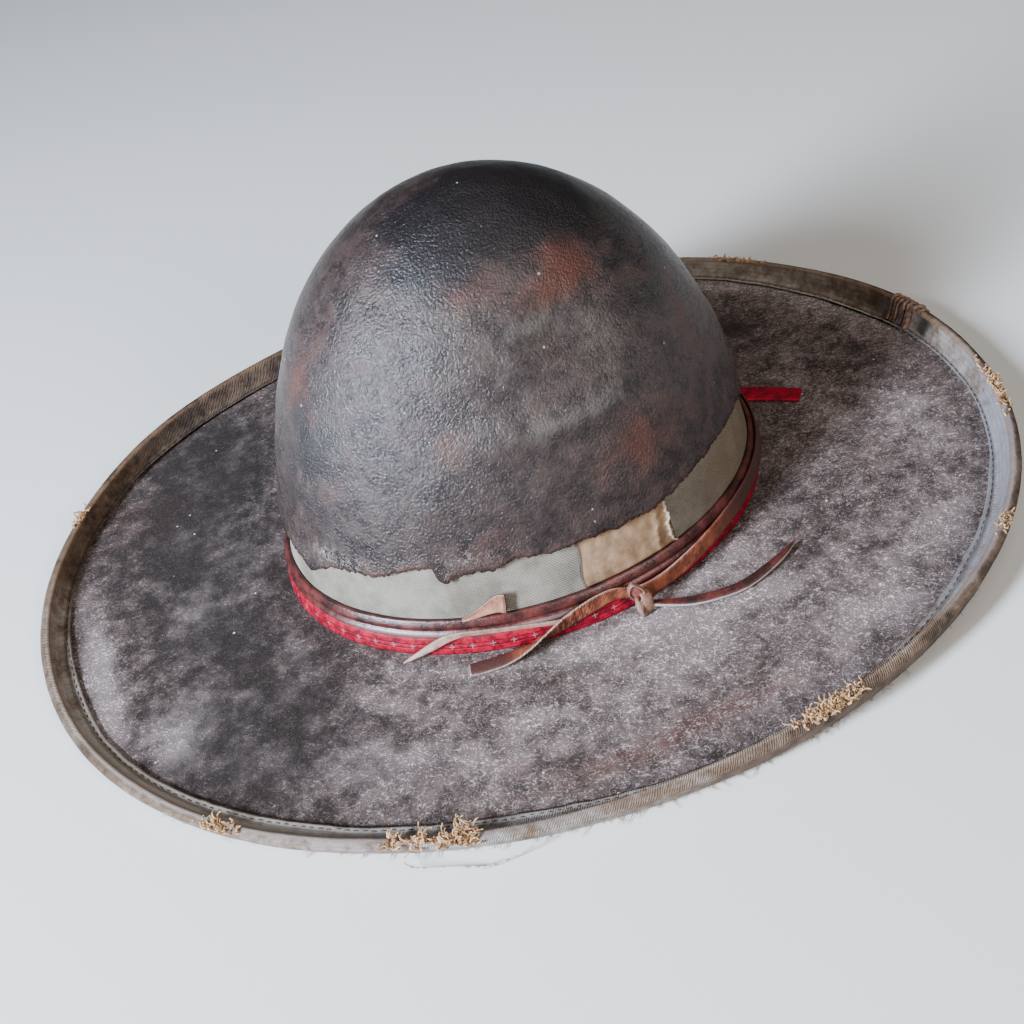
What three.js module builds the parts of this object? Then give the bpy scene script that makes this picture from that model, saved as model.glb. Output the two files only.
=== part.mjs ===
// Worn wide-brimmed felt hat with a tall domed crown, resting on its brim. Millimetres, +Z up.
// X runs along the long axis of the oval, and the knot is on the -Y side.
import * as THREE from 'three';

// Driving dimensions
const SPOKES = 64;
const FELT = 2.4;
const GAP = 0.3;

const COLLAR_HALF_LENGTH = 104.6;
const COLLAR_HALF_WIDTH = 83.8;
const COLLAR_TAPER_X = 0.22;
const COLLAR_TAPER_Y = 0.208;
const COLLAR_FOOT_Z = 3;
const COLLAR_TOP_Z = 46;
const CROWN_X = 2.8;
const CROWN_SWAY = 1.4;
const SWAY_LENGTH = 140;

const BRIM_WIDTH = 100.9;
const BRIM_WIDTH_ENDS = 6.8;
const BRIM_WIDTH_SKEW = -6.2;
const RIM_HEIGHT = 11.6;
const RIM_HEIGHT_TILT = 2.2;
const RIM_HEIGHT_SWING = -2.6;
const RIM_BEND_RADIUS = 6;
const RIM_BEND_STEPS = 3;
const RIM_SLOPE = THREE.MathUtils.degToRad(72);
const FOOT_FILLET = 1.8;
const BRIM_MIDDLE_SHARE = 0.45;

const CROWN_FELT = 2.2;
const DOME_FOOT_Z = 8;
const DOME = { x: 102.8, y: 82.0, z: 150.5 };
const DOME_RINGS = 14;

const BINDING = { thickness: 0.8, insideFrom: 0, outsideFrom: 2 };
const RIBBON = 1.2;
const RIBBON_LOW_Z = 6;
const RIBBON_TOP_Z = 45;
const STRAP = 1.8;
const STRAP_LOW_Z = 10.6;
const STRAP_TOP_Z = 18.4;
const WIDE_STRAP = { fromAngle: 66, toAngle: -78, low: 8.2, top: 16.8, steps: 26 };
const LACE = 1.5;
const PALE_LACE = 1.2;
const RED_BAND = 1.5;
const RED_LOW_Z = 2.7;
const RED_TOP_Z = 10.2;
const PATCH = { low: 18.8, fromAngle: -90.2, toAngle: -68.3, thickness: 1.0, underEdge: 1.2, steps: 5 };
const MEND = {
  fromSpoke: 1, startShare: 0.22, endShare: 0.78, thickness: 1.4, insideFrom: 1, outsideFrom: 3,
};
const KNOT = { angle: -81.4, out: 8.0, z: 9.2, along: 4.4, through: 3.0, tall: 6.5, detail: 2 };

// How far each layer's inner face stands off the collar
const RIBBON_OUT = GAP;
const STRAP_OUT = RIBBON_OUT + RIBBON + GAP;
const WIDE_STRAP_OUT = STRAP_OUT + STRAP + GAP;

// Torn lower edge of the crown: its height at each angle round the hat
const TORN_EDGE = [
  { angle: -180, z: 39.5 },
  { angle: -170, z: 38.0 },
  { angle: -161, z: 34.5 },
  { angle: -158, z: 31.5 },
  { angle: -152, z: 37.5 },
  { angle: -137, z: 38.3 },
  { angle: -130, z: 42.3 },
  { angle: -123, z: 43.0 },
  { angle: -119, z: 36.6 },
  { angle: -110, z: 39.6 },
  { angle: -103, z: 42.4 },
  { angle: -92, z: 41.0 },
  { angle: -80, z: 39.2 },
  { angle: -70, z: 39.0 },
  { angle: -54, z: 43.6 },
  { angle: -30, z: 44.0 },
  { angle: -10, z: 38.5 },
  { angle: 20, z: 41.5 },
  { angle: 60, z: 38.0 },
  { angle: 100, z: 42.0 },
  { angle: 140, z: 38.5 },
  { angle: 180, z: 39.5 },
];

// Dents (positive) and soft folds (negative) in the crown: place, half size and depth
const CROWN_DENTS = [
  { angle: -76, z: 115, across: 12, tall: 8, depth: 4.5 },
  { angle: -79, z: 126, across: 16, tall: 6, depth: -1.6 },
  { angle: -88, z: 89, across: 30, tall: 7, depth: -2.0 },
  { angle: -92, z: 101, across: 26, tall: 8, depth: 1.6 },
  { angle: 95, z: 112, across: 24, tall: 16, depth: 3.0 },
];

// Routes of the loose laces: angle round the hat, distance out from the collar's foot, height
// of the lace's middle, its width, and how far it leans from upright (0) to flat (90)
const WIDE_STRAP_TAIL = [
  { angle: -82, out: 3.9, z: 12.2, width: 8.6, lean: 2 },
  { angle: -87, out: 4.3, z: 11.0, width: 8.6, lean: 6 },
  { angle: -92, out: 5.0, z: 9.6, width: 8.8, lean: 14 },
  { angle: -97, out: 6.6, z: 8.0, width: 8.6, lean: 32 },
  { angle: -102, out: 8.6, z: 6.0, width: 8.4, lean: 54 },
  { angle: -107, out: 10.8, z: 4.6, width: 8.0, lean: 74 },
  { angle: -112, out: 12.4, z: 3.95, width: 7.4, lean: 86 },
  { angle: -116.5, out: 13.2, z: 3.9, width: 6.6, lean: 88 },
];
const KNOT_LACE = [
  { angle: -79.2, out: 10.6, z: 7.0, width: 3.2, lean: 20 },
  { angle: -75.8, out: 14.2, z: 5.8, width: 3.4, lean: 30 },
  { angle: -71.2, out: 20.0, z: 4.9, width: 3.6, lean: 38 },
  { angle: -66.2, out: 25.6, z: 4.7, width: 3.8, lean: 44 },
  { angle: -60, out: 30.2, z: 4.7, width: 4.0, lean: 44 },
  { angle: -54, out: 32.2, z: 4.8, width: 4.0, lean: 40 },
  { angle: -50, out: 31.2, z: 5.4, width: 1.2, lean: 34 },
];
const PALE_LACE_TIP = [
  { angle: -122.6, out: 4.3, z: 8.3, width: 4.2, lean: 12 },
  { angle: -125.4, out: 4.9, z: 6.8, width: 4.0, lean: 30 },
  { angle: -128.0, out: 6.8, z: 5.0, width: 3.0, lean: 56 },
  { angle: -130.2, out: 9.2, z: 3.8, width: 1.0, lean: 70 },
];
const PALE_LACE_CURL = [
  { angle: -116, out: -1.2, z: 19.9, width: 2.0, lean: 0 },
  { angle: -112.5, out: -1.1, z: 21.2, width: 3.8, lean: 0 },
  { angle: -109.5, out: -0.6, z: 22.6, width: 5.8, lean: 0 },
  { angle: -107, out: 1.2, z: 23.4, width: 7.0, lean: 4 },
  { angle: -105.4, out: 3.2, z: 23.4, width: 7.0, lean: 8 },
];
const RED_BAND_TAIL = [
  { angle: 7.4, out: 6.6, z: 3.9, width: 9.4, lean: 88 },
  { angle: 5.2, out: 13.0, z: 3.8, width: 9.4, lean: 88 },
  { angle: 1.2, out: 22.0, z: 3.8, width: 9.2, lean: 88 },
  { angle: -2.2, out: 31.0, z: 3.8, width: 8.8, lean: 88 },
];

// Mesh helpers
function closedGeometry(points, faces) {
  const volume = faces.reduce((sum, [i, j, k]) => {
    const cross = new THREE.Vector3().crossVectors(points[j], points[k]);
    return sum + points[i].dot(cross);
  }, 0);
  const geometry = new THREE.BufferGeometry().setFromPoints(points);
  const outward = volume > 0 ? faces : faces.map(([i, j, k]) => [i, k, j]);
  geometry.setIndex(outward.flat());
  geometry.computeVertexNormals();
  return geometry;
}

// Skins a row of like sections. A ring joins its last section to its first; a strip gets end caps,
// laid as a ladder between the section's two long sides, so that a folded section is capped too.
function loft(sections, isRing) {
  const size = sections[0].length;
  const count = sections.length;
  const faces = [];
  for (let i = 0; i < (isRing ? count : count - 1); i += 1) {
    const next = (i + 1) % count;
    for (let j = 0; j < size; j += 1) {
      const after = (j + 1) % size;
      const [a, b, c, d] = [i * size + j, next * size + j, next * size + after, i * size + after];
      faces.push([a, b, c], [a, c, d]);
    }
  }
  if (!isRing) {
    const last = (count - 1) * size;
    for (let j = 0; j < size / 2 - 1; j += 1) {
      const [a, b, c, d] = [j, j + 1, size - 2 - j, size - 1 - j];
      faces.push([a, b, c], [a, c, d]);
      faces.push([last + a, last + c, last + b], [last + a, last + d, last + c]);
    }
  }
  return closedGeometry(sections.flat(), faces);
}

function spokeAngles() {
  return Array.from({ length: SPOKES }, (_, i) => (2 * Math.PI * i) / SPOKES);
}

function tableHeight(table, angle) {
  let degrees = THREE.MathUtils.radToDeg(angle);
  degrees = degrees > 180 ? degrees - 360 : degrees;
  const after = table.findIndex((row) => row.angle >= degrees);
  const [low, high] = [table[Math.max(after - 1, 0)], table[after]];
  const share = high === low ? 0 : (degrees - low.angle) / (high.angle - low.angle);
  return THREE.MathUtils.lerp(low.z, high.z, share);
}

// Where things are: on the tapered collar, on the flat brim, and along the turned-up rim
function crownCentreX(z) {
  return CROWN_X + CROWN_SWAY * Math.sin((Math.PI * z) / SWAY_LENGTH);
}

function collarPoint(angle, z, out) {
  const rise = z - COLLAR_FOOT_Z;
  const x = (COLLAR_HALF_LENGTH - COLLAR_TAPER_X * rise + out) * Math.cos(angle);
  const y = (COLLAR_HALF_WIDTH - COLLAR_TAPER_Y * rise + out) * Math.sin(angle);
  return new THREE.Vector3(x + crownCentreX(z), y, z);
}

function brimWidth(angle) {
  const ends = BRIM_WIDTH_ENDS * Math.cos(2 * angle);
  return BRIM_WIDTH + ends + BRIM_WIDTH_SKEW * Math.sin(2 * angle);
}

function brimPoint(angle, out, z) {
  const normal = new THREE.Vector2(
    COLLAR_HALF_WIDTH * Math.cos(angle),
    COLLAR_HALF_LENGTH * Math.sin(angle),
  ).normalize();
  const shift = CROWN_X * (1 - out / brimWidth(angle));
  const x = COLLAR_HALF_LENGTH * Math.cos(angle) + normal.x * out + shift;
  const y = COLLAR_HALF_WIDTH * Math.sin(angle) + normal.y * out;
  return new THREE.Vector3(x, y, z);
}

// The rim's middle line bends up from the flat brim and runs straight to its top.
function rimStations(angle) {
  const swing = RIM_HEIGHT_TILT * Math.cos(angle) + RIM_HEIGHT_SWING * Math.sin(2 * angle);
  const height = RIM_HEIGHT + swing;
  const cover = GAP + BINDING.thickness;
  const bendRise = RIM_BEND_RADIUS * (1 - Math.cos(RIM_SLOPE));
  const straight = (height - cover - FELT / 2 - bendRise) / Math.sin(RIM_SLOPE);
  const run = RIM_BEND_RADIUS * Math.sin(RIM_SLOPE) + straight * Math.cos(RIM_SLOPE);
  const foot = brimWidth(angle) - (FELT / 2 + cover) * Math.sin(RIM_SLOPE) - run;
  const stations = [];
  for (let step = 0; step <= RIM_BEND_STEPS; step += 1) {
    const slope = (RIM_SLOPE * step) / RIM_BEND_STEPS;
    const out = foot + RIM_BEND_RADIUS * Math.sin(slope);
    const z = FELT / 2 + RIM_BEND_RADIUS * (1 - Math.cos(slope));
    stations.push({ out, z, slope });
  }
  const bend = stations[RIM_BEND_STEPS];
  stations.push({
    out: bend.out + straight * Math.cos(RIM_SLOPE),
    z: bend.z + straight * Math.sin(RIM_SLOPE),
    slope: RIM_SLOPE,
  });
  return stations;
}

// A point beside the rim's middle line: side > 0 is the hat's inner face, onward is past the top.
function besideRim(angle, station, side, onward = 0) {
  const out = station.out - side * Math.sin(station.slope) + onward * Math.cos(station.slope);
  const z = station.z + side * Math.cos(station.slope) + onward * Math.sin(station.slope);
  return brimPoint(angle, out, z);
}

// A folded layer round the rim, whose inner face stands "inner" off the felt's middle line
function rimWrap(angle, inner, layer) {
  const outer = inner + layer.thickness;
  const stations = rimStations(angle);
  const top = stations[stations.length - 1];
  const inside = stations.slice(layer.insideFrom);
  const outside = stations.slice(layer.outsideFrom).reverse();
  const lift = inner - FELT / 2;
  const liftOuter = outer - FELT / 2;
  return [
    ...inside.map((station) => besideRim(angle, station, inner)),
    besideRim(angle, top, inner, lift),
    besideRim(angle, top, -inner, lift),
    ...outside.map((station) => besideRim(angle, station, -inner)),
    ...outside.reverse().map((station) => besideRim(angle, station, -outer)),
    besideRim(angle, top, -outer + liftOuter / 2, liftOuter),
    besideRim(angle, top, outer - liftOuter / 2, liftOuter),
    ...inside.reverse().map((station) => besideRim(angle, station, outer)),
  ];
}

// Brim: flat felt, an upright collar in the head hole and the turned-up rim, all one piece
function brimSection(angle) {
  const stations = rimStations(angle);
  const half = FELT / 2;
  const middle = BRIM_MIDDLE_SHARE * brimWidth(angle);
  const bendZ = FELT + FOOT_FILLET;
  const fillet = FOOT_FILLET * (1 - Math.SQRT1_2);
  const outerBend = bendZ * (1 - Math.SQRT1_2);
  return [
    collarPoint(angle, COLLAR_TOP_Z, 0),
    collarPoint(angle, COLLAR_TOP_Z / 2, 0),
    collarPoint(angle, bendZ, 0),
    collarPoint(angle, FELT + fillet, fillet),
    collarPoint(angle, FELT, FOOT_FILLET),
    brimPoint(angle, middle, FELT),
    ...stations.map((station) => besideRim(angle, station, half)),
    ...stations.reverse().map((station) => besideRim(angle, station, -half)),
    brimPoint(angle, middle, 0),
    collarPoint(angle, 0, FOOT_FILLET),
    collarPoint(angle, outerBend, outerBend - FELT),
    collarPoint(angle, bendZ, -FELT),
    collarPoint(angle, COLLAR_TOP_Z / 2, -FELT),
    collarPoint(angle, COLLAR_TOP_Z, -FELT),
  ];
}

// Crown: half an egg of felt, held outside the ribbon where the two overlap
function dentDepth(angle, z) {
  return CROWN_DENTS.reduce((sum, dent) => {
    const turn = angle - THREE.MathUtils.degToRad(dent.angle);
    const wrapped = Math.atan2(Math.sin(turn), Math.cos(turn));
    const along = (wrapped * DOME.y) / dent.across;
    const up = (z - dent.z) / dent.tall;
    return sum + dent.depth * Math.exp(-along * along - up * up);
  }, 0);
}

function crownPoint(angle, latitude, inset) {
  const z = DOME_FOOT_Z + (DOME.z - inset) * Math.sin(latitude);
  const shrink = Math.cos(latitude);
  const stand = STRAP_OUT + CROWN_FELT - inset;
  const rise = z - COLLAR_FOOT_Z;
  const dent = dentDepth(angle, z) * shrink;
  const halfLength = Math.max(
    (DOME.x - inset) * shrink,
    COLLAR_HALF_LENGTH - COLLAR_TAPER_X * rise + stand,
  ) - dent;
  const halfWidth = Math.max(
    (DOME.y - inset) * shrink,
    COLLAR_HALF_WIDTH - COLLAR_TAPER_Y * rise + stand,
  ) - dent;
  const isOverRibbon = z < COLLAR_TOP_Z;
  const x = (isOverRibbon ? halfLength : (DOME.x - inset) * shrink - dent) * Math.cos(angle);
  const y = (isOverRibbon ? halfWidth : (DOME.y - inset) * shrink - dent) * Math.sin(angle);
  return new THREE.Vector3(x + crownCentreX(z), y, z);
}

function crownGeometry() {
  const points = [];
  for (const inset of [0, CROWN_FELT]) {
    for (let ring = 0; ring < DOME_RINGS; ring += 1) {
      for (const angle of spokeAngles()) {
        const edge = Math.asin((tableHeight(TORN_EDGE, angle) - DOME_FOOT_Z) / (DOME.z - inset));
        const latitude = THREE.MathUtils.lerp(edge, Math.PI / 2, ring / DOME_RINGS);
        points.push(crownPoint(angle, latitude, inset));
      }
    }
    points.push(crownPoint(0, Math.PI / 2, inset));
  }
  const faces = [];
  const shellSize = DOME_RINGS * SPOKES + 1;
  for (const shell of [0, 1]) {
    const start = shell * shellSize;
    const add = (a, b, c) => faces.push(shell ? [start + a, start + c, start + b]
      : [start + a, start + b, start + c]);
    for (let spoke = 0; spoke < SPOKES; spoke += 1) {
      const next = (spoke + 1) % SPOKES;
      for (let ring = 0; ring < DOME_RINGS - 1; ring += 1) {
        const [low, high] = [ring * SPOKES, (ring + 1) * SPOKES];
        add(low + spoke, low + next, high + next);
        add(low + spoke, high + next, high + spoke);
      }
      const last = (DOME_RINGS - 1) * SPOKES;
      add(last + spoke, last + next, DOME_RINGS * SPOKES);
    }
  }
  for (let spoke = 0; spoke < SPOKES; spoke += 1) {
    const next = (spoke + 1) % SPOKES;
    faces.push([spoke, shellSize + spoke, shellSize + next], [spoke, shellSize + next, next]);
  }
  return closedGeometry(points, faces);
}

// Bands: flat-sided rings on the collar
function bandSection(angle, low, top, out, thickness) {
  return [
    collarPoint(angle, low, out),
    collarPoint(angle, low, out + thickness),
    collarPoint(angle, top, out + thickness),
    collarPoint(angle, top, out),
  ];
}

function bandGeometry(low, top, out, thickness) {
  const sections = spokeAngles().map((angle) => bandSection(angle, low, top, out, thickness));
  return loft(sections, true);
}

function patchGeometry() {
  const sections = [];
  for (let step = 0; step <= PATCH.steps; step += 1) {
    const degrees = THREE.MathUtils.lerp(PATCH.fromAngle, PATCH.toAngle, step / PATCH.steps);
    const angle = THREE.MathUtils.degToRad(degrees);
    const top = tableHeight(TORN_EDGE, angle) - PATCH.underEdge;
    sections.push(bandSection(angle, PATCH.low, top, STRAP_OUT, PATCH.thickness));
  }
  return loft(sections, false);
}

// Laces and straps: a four-sided section carried along a route
function routePoint(row) {
  const angle = THREE.MathUtils.degToRad(row.angle);
  const x = (COLLAR_HALF_LENGTH + row.out) * Math.cos(angle) + CROWN_X;
  const y = (COLLAR_HALF_WIDTH + row.out) * Math.sin(angle);
  return new THREE.Vector3(x, y, row.z);
}

function laceSections(rows, thickness) {
  const centres = rows.map(routePoint);
  return rows.map((row, i) => {
    const before = centres[Math.max(i - 1, 0)];
    const after = centres[Math.min(i + 1, rows.length - 1)];
    const along = new THREE.Vector3().subVectors(after, before).setZ(0).normalize();
    const outward = new THREE.Vector3(-along.y, along.x, 0);
    if (outward.dot(centres[i]) < 0) {
      outward.negate();
    }
    const lean = THREE.MathUtils.degToRad(row.lean);
    const across = outward.clone().multiplyScalar(Math.sin(lean)).setZ(Math.cos(lean));
    const through = outward.clone().multiplyScalar(Math.cos(lean)).setZ(-Math.sin(lean));
    const [w, t] = [row.width / 2, thickness / 2];
    return [[-w, -t], [w, -t], [w, t], [-w, t]].map(([side, face]) => centres[i].clone()
      .addScaledVector(across, side).addScaledVector(through, face));
  });
}

function wideStrapGeometry() {
  const { fromAngle, toAngle, low, top, steps } = WIDE_STRAP;
  const [inner, outer] = [WIDE_STRAP_OUT, WIDE_STRAP_OUT + STRAP];
  const ring = [];
  for (let step = 0; step <= steps; step += 1) {
    const degrees = THREE.MathUtils.lerp(fromAngle, toAngle, step / steps);
    const angle = THREE.MathUtils.degToRad(degrees);
    ring.push([
      collarPoint(angle, low, inner),
      collarPoint(angle, top, inner),
      collarPoint(angle, top, outer),
      collarPoint(angle, low, outer),
    ]);
  }
  const tail = laceSections(WIDE_STRAP_TAIL, STRAP);
  return loft([...ring, ...tail], false);
}

// The mend lies between two neighbouring spokes, parallel to the binding that it wraps.
function mendGeometry() {
  const inner = FELT / 2 + GAP + BINDING.thickness + GAP;
  const [before, after] = [MEND.fromSpoke, MEND.fromSpoke + 1].map(
    (spoke) => rimWrap(spokeAngles()[spoke], inner, MEND),
  );
  const sections = [MEND.startShare, MEND.endShare].map(
    (share) => before.map((point, i) => point.clone().lerp(after[i], share)),
  );
  return loft(sections, false);
}

function knotGeometry() {
  const centre = routePoint(KNOT);
  const geometry = new THREE.IcosahedronGeometry(1, KNOT.detail);
  geometry.scale(KNOT.along, KNOT.through, KNOT.tall);
  geometry.rotateZ(THREE.MathUtils.degToRad(KNOT.angle + 90));
  geometry.translate(centre.x, centre.y, centre.z);
  return geometry;
}

const COLOURS = {
  crown: { color: 0x3a2c2a, roughness: 0.42 },
  brim: { color: 0x5b4d49, roughness: 0.92 },
  binding: { color: 0x6e6459, roughness: 0.9 },
  ribbon: { color: 0x77705c, roughness: 0.88 },
  patch: { color: 0x8a6a4c, roughness: 0.9 },
  darkLeather: { color: 0x4c1d18, roughness: 0.45 },
  tanLeather: { color: 0x7a3c20, roughness: 0.5 },
  paleLeather: { color: 0xb98873, roughness: 0.6 },
  redLeather: { color: 0xa3102a, roughness: 0.5 },
  thread: { color: 0x5a3a26, roughness: 0.9 },
};

const BINDING_INNER = FELT / 2 + GAP;
const hat = new THREE.Group();

function addPiece(name, geometry, look) {
  const mesh = new THREE.Mesh(geometry, new THREE.MeshStandardMaterial({ ...look, metalness: 0 }));
  mesh.name = name;
  hat.add(mesh);
}

addPiece('brim', loft(spokeAngles().map(brimSection), true), COLOURS.brim);
addPiece('brim_binding', loft(spokeAngles().map(
  (angle) => rimWrap(angle, BINDING_INNER, BINDING),
), true), COLOURS.binding);
addPiece('rim_mend', mendGeometry(), COLOURS.thread);
addPiece('crown', crownGeometry(), COLOURS.crown);
addPiece('cloth_band', bandGeometry(RIBBON_LOW_Z, RIBBON_TOP_Z, RIBBON_OUT, RIBBON), COLOURS.ribbon);
addPiece('band_patch', patchGeometry(), COLOURS.patch);
addPiece('lace_strap', bandGeometry(STRAP_LOW_Z, STRAP_TOP_Z, STRAP_OUT, STRAP), COLOURS.darkLeather);
addPiece('wide_strap', wideStrapGeometry(), COLOURS.tanLeather);
addPiece('knot', knotGeometry(), COLOURS.paleLeather);
addPiece('knot_lace', loft(laceSections(KNOT_LACE, LACE), false), COLOURS.darkLeather);
addPiece('pale_lace_tip', loft(laceSections(PALE_LACE_TIP, PALE_LACE), false), COLOURS.paleLeather);
addPiece('pale_lace_curl', loft(laceSections(PALE_LACE_CURL, PALE_LACE), false), COLOURS.paleLeather);
addPiece('red_band', bandGeometry(RED_LOW_Z, RED_TOP_Z, STRAP_OUT, RED_BAND), COLOURS.redLeather);
addPiece('red_band_tail', loft(laceSections(RED_BAND_TAIL, RED_BAND), false), COLOURS.redLeather);

export default hat;
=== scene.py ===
import math
import bmesh
import bpy
import numpy as np
from mathutils import Matrix, Vector, noise


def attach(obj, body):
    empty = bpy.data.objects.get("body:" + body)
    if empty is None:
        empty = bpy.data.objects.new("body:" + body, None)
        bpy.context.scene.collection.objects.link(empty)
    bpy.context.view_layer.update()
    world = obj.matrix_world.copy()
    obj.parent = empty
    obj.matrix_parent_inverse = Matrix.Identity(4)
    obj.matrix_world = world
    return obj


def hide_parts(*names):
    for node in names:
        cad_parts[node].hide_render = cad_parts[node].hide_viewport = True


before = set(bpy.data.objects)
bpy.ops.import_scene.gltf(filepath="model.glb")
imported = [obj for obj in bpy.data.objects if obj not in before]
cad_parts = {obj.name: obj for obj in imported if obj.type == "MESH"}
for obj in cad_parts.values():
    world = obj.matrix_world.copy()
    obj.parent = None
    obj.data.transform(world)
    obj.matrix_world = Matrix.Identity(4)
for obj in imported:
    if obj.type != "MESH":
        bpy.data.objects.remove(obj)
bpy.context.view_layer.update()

# Camera: a hand-held shot from the front left, looking down at 40 degrees and rolled to the right,
# aimed at the middle of the head hole.
AIM = Vector((0.0028, 0, 0))
CAMERA_DISTANCE = 0.558
CAMERA_AZIMUTH = math.radians(-10.44)
CAMERA_ELEVATION = math.radians(40.40)
CAMERA_ROLL = math.radians(-14.14)
CAMERA_LENS = 44.13
CAMERA_SHIFT = (-0.0113, -0.0108)

camera = bpy.data.objects.new("camera", bpy.data.cameras.new("camera"))
bpy.context.collection.objects.link(camera)
bpy.context.scene.camera = camera
camera.data.lens = CAMERA_LENS
camera.data.sensor_width = 36
camera.data.shift_x, camera.data.shift_y = CAMERA_SHIFT
camera.data.clip_start = 0.01
camera_back = Vector((
    math.sin(CAMERA_AZIMUTH) * math.cos(CAMERA_ELEVATION),
    -math.cos(CAMERA_AZIMUTH) * math.cos(CAMERA_ELEVATION),
    math.sin(CAMERA_ELEVATION),
))
level_right = Vector((math.cos(CAMERA_AZIMUTH), math.sin(CAMERA_AZIMUTH), 0))
level_up = camera_back.cross(level_right)
camera_right = level_right * math.cos(CAMERA_ROLL) + level_up * math.sin(CAMERA_ROLL)
camera_up = level_up * math.cos(CAMERA_ROLL) - level_right * math.sin(CAMERA_ROLL)
turn = Matrix((camera_right, camera_up, camera_back)).transposed().to_4x4()
camera.matrix_world = Matrix.Translation(AIM + camera_back * CAMERA_DISTANCE) @ turn

# Studio: a pale floor and soft lights. A tall cool window stands at the left, and a wide neutral
# panel at the front right.
FLOOR_SIZE = 8.0
FLOOR_DROP = 0.0002
LIGHTS_AIM = Vector((0, 0, 0.06))
# Name, azimuth and elevation in degrees, distance, size, power, colour
LIGHTS = [
    ("window", -66, 26, 1.5, (0.24, 0.62), 118, (0.74, 0.85, 1.0)),
    ("front_panel", 22, 30, 1.9, (0.6, 0.5), 24, (1.0, 0.93, 0.86)),
    ("top_panel", 40, 74, 2.0, (1.6, 1.2), 10, (1.0, 0.93, 0.88)),
]
SKY_COLOUR = (0.75, 0.78, 0.82, 1)
SKY_STRENGTH = 0.12


def node(tree, kind, inputs=None, **settings):
    """One node, with its settings, and its inputs as plain values or as links from other nodes."""
    made = tree.nodes.new(kind)
    for name, value in settings.items():
        setattr(made, name, value)
    for name, value in (inputs or {}).items():
        if isinstance(value, bpy.types.NodeSocket):
            tree.links.new(value, made.inputs[name])
        else:
            made.inputs[name].default_value = value
    return made


def new_material(name):
    """A material, its node tree and its Principled shader."""
    material = bpy.data.materials.new(name)
    material.use_nodes = True
    return material, material.node_tree, material.node_tree.nodes["Principled BSDF"]


def area_light(name, azimuth, elevation, distance, size, power, colour):
    """A rectangle of light aimed at the crown. Azimuth 0 is in front of the hat, 90 at its right."""
    a, e = math.radians(azimuth), math.radians(elevation)
    toward = Vector((math.sin(a) * math.cos(e), -math.cos(a) * math.cos(e), math.sin(e)))
    lamp = bpy.data.lights.new(name, "AREA")
    lamp.shape = "RECTANGLE"
    lamp.size, lamp.size_y = size
    lamp.energy = power
    lamp.color = colour
    holder = bpy.data.objects.new(name, lamp)
    bpy.context.collection.objects.link(holder)
    holder.location = LIGHTS_AIM + toward * distance
    holder.rotation_euler = toward.to_track_quat("Z", "Y").to_euler()


for light in LIGHTS:
    area_light(*light)

world = bpy.data.worlds.new("studio")
bpy.context.scene.world = world
world.use_nodes = True
sky = world.node_tree.nodes["Background"]
sky.inputs["Color"].default_value = SKY_COLOUR
sky.inputs["Strength"].default_value = SKY_STRENGTH

bpy.ops.mesh.primitive_plane_add(size=FLOOR_SIZE, location=(0, 0, -FLOOR_DROP))
floor = bpy.context.object
floor.name = "floor"
floor_material, tree, paint = new_material("pale_floor")
paint.inputs["Base Color"].default_value = (0.62, 0.61, 0.59, 1)
paint.inputs["Roughness"].default_value = 0.8
floor.data.materials.append(floor_material)

# Brim: one disc of thick fur felt with an upright collar round the head hole and a turned-up rim.
# The felt was once dark brown. Wear has raised its hair, and dust lies in the nap.
# Lengths are in metres. The collar's half length and half width are its outer face's, at its foot.
SPOKES = 640
FELT = 0.0024
COLLAR_HALF_LENGTH = 0.1046
COLLAR_HALF_WIDTH = 0.0838
COLLAR_TAPER_X = 0.22
COLLAR_TAPER_Y = 0.208
COLLAR_FOOT_Z = 0.003
COLLAR_TOP_Z = 0.046
CROWN_X = 0.0028
CROWN_SWAY = 0.0014
SWAY_LENGTH = 0.140
BRIM_WIDTH = 0.1009
BRIM_WIDTH_ENDS = 0.0068
BRIM_WIDTH_SKEW = -0.0062
RIM_HEIGHT = 0.0116
RIM_HEIGHT_TILT = 0.0022
RIM_HEIGHT_SWING = -0.0026
RIM_BEND_RADIUS = 0.006
RIM_SLOPE = math.radians(72)
RIM_COVER = 0.0011
FOOT_FILLET = 0.0018

angles = np.linspace(0, 2 * math.pi, SPOKES, endpoint=False)[:, None]


def crown_centre_x(z):
    """The middle of the collar and crown at a height. The crown sways a little towards the right."""
    return CROWN_X + CROWN_SWAY * np.sin(math.pi * z / SWAY_LENGTH)


def points_of(x, y, z):
    """Points from three arrays, or numbers, that broadcast together."""
    return np.stack(np.broadcast_arrays(x, y, z), axis=-1).astype(float)


def collar_point(angle, z, out):
    """A point beside the tapered oval collar: angle round the hat, height, and distance outwards."""
    rise = z - COLLAR_FOOT_Z
    x = (COLLAR_HALF_LENGTH - COLLAR_TAPER_X * rise + out) * np.cos(angle) + crown_centre_x(z)
    y = (COLLAR_HALF_WIDTH - COLLAR_TAPER_Y * rise + out) * np.sin(angle)
    return points_of(x, y, z)


def brim_width(angle):
    """The brim's width from the collar's foot to the rim. It is broader at the ends, and skewed."""
    return BRIM_WIDTH + BRIM_WIDTH_ENDS * np.cos(2 * angle) + BRIM_WIDTH_SKEW * np.sin(2 * angle)


def brim_point(angle, out, z):
    """A point over the brim: angle round the hat, distance out from the collar's foot, height."""
    normal_x = COLLAR_HALF_WIDTH * np.cos(angle)
    normal_y = COLLAR_HALF_LENGTH * np.sin(angle)
    length = np.hypot(normal_x, normal_y)
    shift = CROWN_X * (1 - out / brim_width(angle))
    x = COLLAR_HALF_LENGTH * np.cos(angle) + normal_x / length * out + shift
    y = COLLAR_HALF_WIDTH * np.sin(angle) + normal_y / length * out
    return points_of(x, y, z)


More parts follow.
